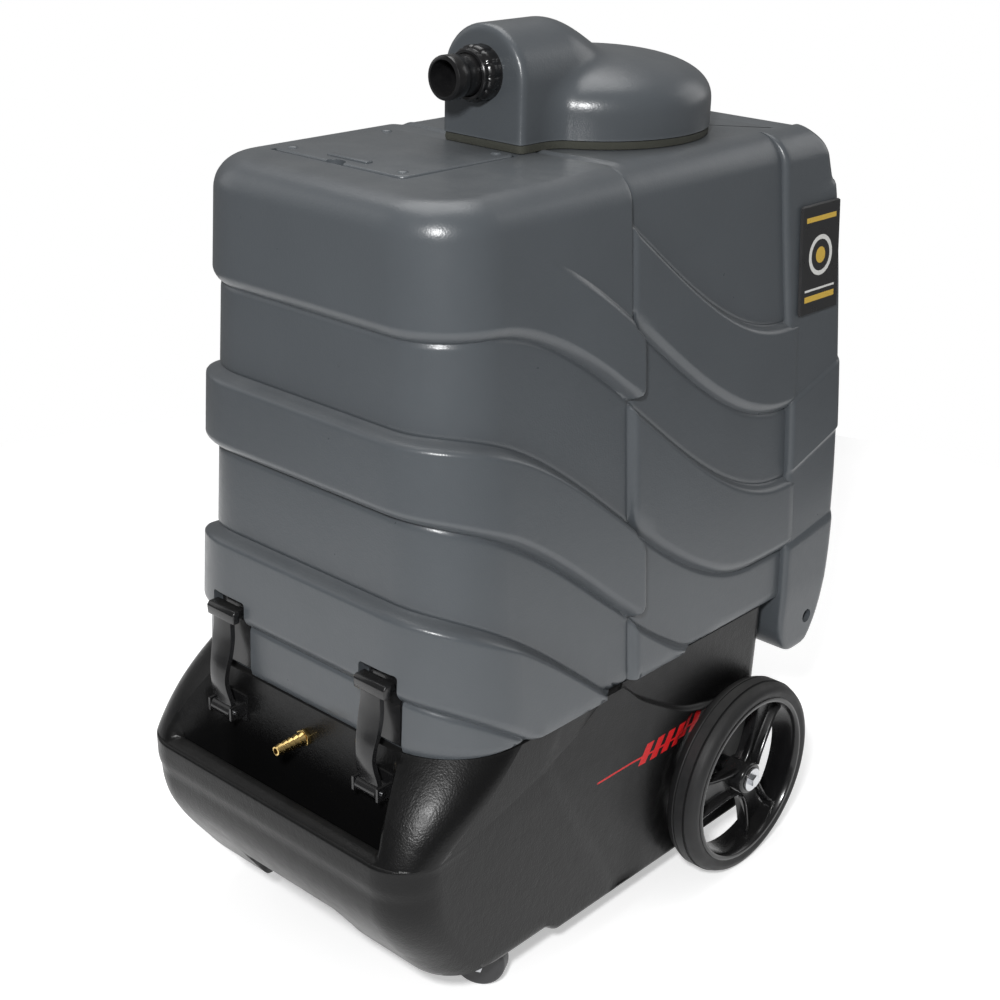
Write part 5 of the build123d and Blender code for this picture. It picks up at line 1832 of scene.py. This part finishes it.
@dataclass
class Latch:
    """A T-headed draw latch with a bowed strap."""

    word: str
    strap_half: float = 0.016
    thick: float = 0.0065

    def build(self) -> None:
        """Make the latch from its strap, head and eye."""
        low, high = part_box(f"latch_{self.word}")
        pin_low, pin_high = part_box("latch_pins")
        pin = Vector(((low.x + high.x) / 2, (pin_low.y + pin_high.y) / 2, (pin_low.z + pin_high.z) / 2))
        top, reach = high.z, high.z - pin.z
        lead = (-0.0015, 0.0005, 0.0035, 0.0050, 0.0035, 0.0005, -0.0020, -0.0040, -0.0048, -0.0050)
        rows = len(lead)

        def line(t: float) -> float:
            """How far ahead of the pin the strap's middle runs."""
            table = [(i / (rows - 1), -v) for i, v in enumerate(lead)]
            return pin.y + curve(table, t) + 0.0005

        section = ((-1, -1), (-0.9, -1.15), (0, -1.35), (0.9, -1.15), (1, -1), (1, 0.9), (0, 1.0), (-1, 0.9))

        def place(column: int, row: int) -> Vector:
            """A point of the strap.

            Args:
                column: Which point across.
                row: Which point up.

            Returns:
                The point's place.
            """
            u, v = section[column % len(section)]
            t = row / 24
            wide = self.strap_half * (1 - 0.22 * bell((t - 0.32) / 0.2) - 0.1 * ease((t - 0.7) / 0.2))
            return Vector((pin.x + u * wide, line(t) + v * self.thick / 2, pin.z + t * (reach - 0.006)))

        strap = sheet(len(section) + 1, 25, place)
        cap(strap)
        face = line(1.0)
        head_half = (high.x - low.x) / 2
        shape = [(face - 0.0052, top - 0.0155), (face - 0.0062, top - 0.004), (face - 0.003, top),
                 (high.y - 0.001, top), (high.y, top - 0.0085), (face + 0.004, top - 0.0095),
                 (face + 0.003, top - 0.0155)]
        outline = [Vector((pin.x - head_half, y, z)) for y, z in shape]
        head = slab(outline, Vector((2 * head_half, 0, 0)), 0.0014)
        wide = self.strap_half
        eye = turned([(0.0031, -wide), (0.0066, -wide), (0.0078, -wide + 0.001), (0.0078, wide - 0.001),
                      (0.0066, wide), (0.0031, wide)], pin, Vector((1, 0, 0)), 40)
        piece(f"draw_latch_{self.word}", merged(strap, head, eye), f"{self.word}_latch", GLOSS_BLACK,
              [f"latch_{self.word}"], sharp=math.radians(44))


@dataclass
class HoseBarb:
    """Brass hose barb on the front wall."""

    ridges: int = 5

    def build(self) -> None:
        """Make the barb with its hexagon."""
        low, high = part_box("hose_barb")
        axis = Vector((0, -1, 0))
        z = (low.z + high.z) / 2
        origin = Vector((0, high.y - 0.012, z))
        shank = [(0.0035, -0.010), (0.0058, -0.010), (0.0058, 0.006), (0.0052, 0.0062)]
        step = 0.0075
        for i in range(self.ridges):
            r = 0.0084 - 0.0004 * i
            d = 0.006 + step * i
            shank += [(r - 0.0002, d + 0.0004), (r, d + 0.0008), (r - 0.0002, d + 0.0014),
                      (0.0054, d + step - 0.0008), (0.0052, d + step)]
        shank += [(0.0050, 0.0442), (0.0036, 0.0445)]
        hexagon = bmesh.new()
        bmesh.ops.create_cone(hexagon, cap_ends=True, segments=6, radius1=0.0105, radius2=0.0105,
                              depth=0.006)
        soften(hexagon, 0.0006, 2)
        turn = Matrix.Translation(origin + axis * 0.003) @ Matrix.Rotation(QUARTER, 4, "X")
        bmesh.ops.transform(hexagon, matrix=turn, verts=hexagon.verts)
        piece("brass_barb", merged(turned(shank, origin, axis, 48), hexagon), "base", BRASS,
              ["hose_barb"], sharp=math.radians(30))


@dataclass
class PushBar:
    """The tube between the wings."""

    grip_ribs: int = 26

    def build(self) -> None:
        """Make the tube with a ribbed grip in its middle."""
        low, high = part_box("push_bar")
        r, half = (high.z - low.z) / 2, (high.x - low.x) / 2
        middle = (low + high) / 2
        outline = [(r - 0.003, -half), (r, -half), (r, -half + 0.02), (r, half - 0.02), (r, half),
                   (r - 0.003, half)]
        tube = turned(outline, middle, Vector((1, 0, 0)), 56)
        piece("push_tube", tube, "tank", ZINC, ["push_bar"])
        pitch = 0.0078
        reach = self.grip_ribs * pitch / 2
        sleeve = [(r + 0.0002, -reach), (r + 0.0022, -reach)]
        for i in range(self.grip_ribs):
            x = -reach + i * pitch
            sleeve += [(r + 0.0030, x + 0.0012), (r + 0.0032, x + 0.0030), (r + 0.0030, x + 0.0048),
                       (r + 0.0016, x + 0.0060), (r + 0.0016, x + 0.0070)]
        sleeve += [(r + 0.0022, reach), (r + 0.0002, reach)]
        grip = turned(sleeve, middle, Vector((1, 0, 0)), 48)
        piece("push_grip_sleeve", grip, "tank", CASTER_RUBBER, sharp=CREASE)


@dataclass
class CadFinishes:
    """Finishes of the CAD nodes that stay as they are."""

    by_slot: dict[str, Finish] = field(default_factory=lambda: {
        "black_plastic": GLOSS_BLACK, "rubber": CASTER_RUBBER, "zinc": ZINC, "brass": BRASS,
        "panel": PANEL_PAINT, "motor": MOTOR_PLASTIC, "alloy": CAST_ALLOY, "label": PLATE_PRINT,
        "lens": LENS_GLASS, "needle": NEEDLE_RED, "switch_red": SWITCH_RED, "float": FLOAT_IVORY,
        "pipe": PIPE_WHITE, "tank": TANK_GREY, "base": BASE_BLACK, "tyre": TYRE_RUBBER})

    def dress(self, frame: dict) -> None:
        """Give each shown CAD node its finish.
        """
        slots = {s["node"]: s["material_slot"] for s in frame["record"]["subparts"]}
        for name, obj in frame["nodes"].items():
            if obj.hide_render:
                continue
            finish = WIRING_GREY if name == "wiring_box" else self.by_slot[slots[name]]
            for slot in obj.material_slots:
                slot.material = finish.material()
            if not obj.material_slots:
                obj.data.materials.append(finish.material())
            log.info("%s dressed as %s", name, finish.name)


# ---- studio ----

@dataclass
class Studio:
    """Camera, lights, floor and surroundings."""

    place: tuple[float, float, float] = (1.2417, -1.3990, 1.2732)
    azimuth: float = 41.807
    elevation: float = 22.917
    roll: float = -1.417
    lens: float = 61.115
    sensor: float = 36.0
    ambient: float = 0.20

    def camera(self) -> None:
        """Set the camera at the main viewpoint."""
        a, e, r = (math.radians(v) for v in (self.azimuth, self.elevation, self.roll))
        forward = Vector((-math.sin(a) * math.cos(e), math.cos(a) * math.cos(e), -math.sin(e)))
        right = Vector((math.cos(a), math.sin(a), 0))
        down = forward.cross(right)
        x_axis = right * math.cos(r) + down * math.sin(r)
        y_axis = -(down * math.cos(r) - right * math.sin(r))
        data = bpy.data.cameras.new("camera")
        data.lens, data.sensor_width = self.lens, self.sensor
        data.clip_start, data.clip_end = 0.05, 100
        cam = bpy.data.objects.new("camera", data)
        turn = Matrix((x_axis, y_axis, -forward)).transposed().to_4x4()
        cam.matrix_world = Matrix.Translation(self.place) @ turn
        bpy.context.scene.collection.objects.link(cam)
        bpy.context.scene.camera = cam

    def lamp(self, name: str, place: Vector, aim: Vector, size: float, power: float) -> None:
        """One soft square light, pointed at a place.

        Args:
            name: The lamp's name.
            place: Where it hangs.
            aim: What it points at.
            size: Width of its square.
            power: Its power in watts.
        """
        data = bpy.data.lights.new(name, "AREA")
        data.shape, data.size, data.energy = "SQUARE", size, power
        lamp = bpy.data.objects.new(name, data)
        lamp.location = place
        lamp.rotation_mode = "QUATERNION"
        lamp.rotation_quaternion = (aim - place).to_track_quat("-Z", "Y")
        bpy.context.scene.collection.objects.link(lamp)

    def build(self) -> None:
        """Set up everything round the machine."""
        self.camera()
        world = bpy.data.worlds.new("studio")
        world.use_nodes = True
        w = Wiring(world.node_tree)
        seen = w.node("ShaderNodeLightPath").outputs["Is Camera Ray"]
        sky = world.node_tree.nodes["Background"]
        sky.inputs["Color"].default_value = (1, 1, 1, 1)
        w.link(w.math("MULTIPLY_ADD", seen, 1.0 - self.ambient, self.ambient), sky.inputs["Strength"])
        bpy.context.scene.world = world
        middle = Vector((0, 0, 0.6))
        self.lamp("key", Vector((1.25, -1.75, 1.80)), middle, 0.22, 56)
        self.lamp("sky", Vector((-0.5, 0.2, 3.0)), middle, 2.0, 40)
        self.lamp("left", Vector((-2.4, -1.2, 1.8)), middle, 1.6, 7)
        self.lamp("rear", Vector((0.9, 2.8, 1.8)), middle, 1.8, 14)
        floor = bmesh.new()
        bmesh.ops.create_circle(floor, cap_ends=True, segments=128, radius=1.7)
        obj = loose_object("floor", floor)
        pale = FloorFinish("pale_floor", (0.86, 0.86, 0.86), rough=0.7, grain=60.0, strength=0.02,
                           mottle=0.02, rub=0.02, wear=0.0, dust=0.0)
        obj.data.materials.append(pale.material())
        bpy.context.scene.view_settings.view_transform = "Standard"


def main() -> None:
    """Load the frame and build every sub-assembly."""
    logging.basicConfig(level=logging.INFO, format="%(name)s %(message)s")
    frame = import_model()
    Studio().build()
    base_low, base_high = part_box("base_tub")
    _, tank_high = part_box("tank_shell")
    axle_low, axle_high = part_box("axle")
    tyre_low, tyre_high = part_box("tyre_left")
    front = base_low.y + 0.067
    valve_low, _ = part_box("valve_housing")
    Tank(top=tank_high.z, seam=base_high.z, back=valve_low.y + 0.005, front=front + 0.006,
         half=base_high.x - 0.006).build()
    Dome(top=tank_high.z).build()
    FillLid().build()
    Base(bar=base_low.y, front=front, rear=base_high.y, half=base_high.x, seam=base_high.z, floor=base_low.z,
         axle=(axle_low + axle_high) / 2, wheel_r=(tyre_high.z - tyre_low.z) / 2).build()
    for word, side in (("left", -1), ("right", 1)):
        RearWheel(word, side).build()
        Latch(word).build()
    HoseBarb().build()
    PushBar().build()
    CadFinishes().dress(frame)


if __name__ == "__main__":
    main()
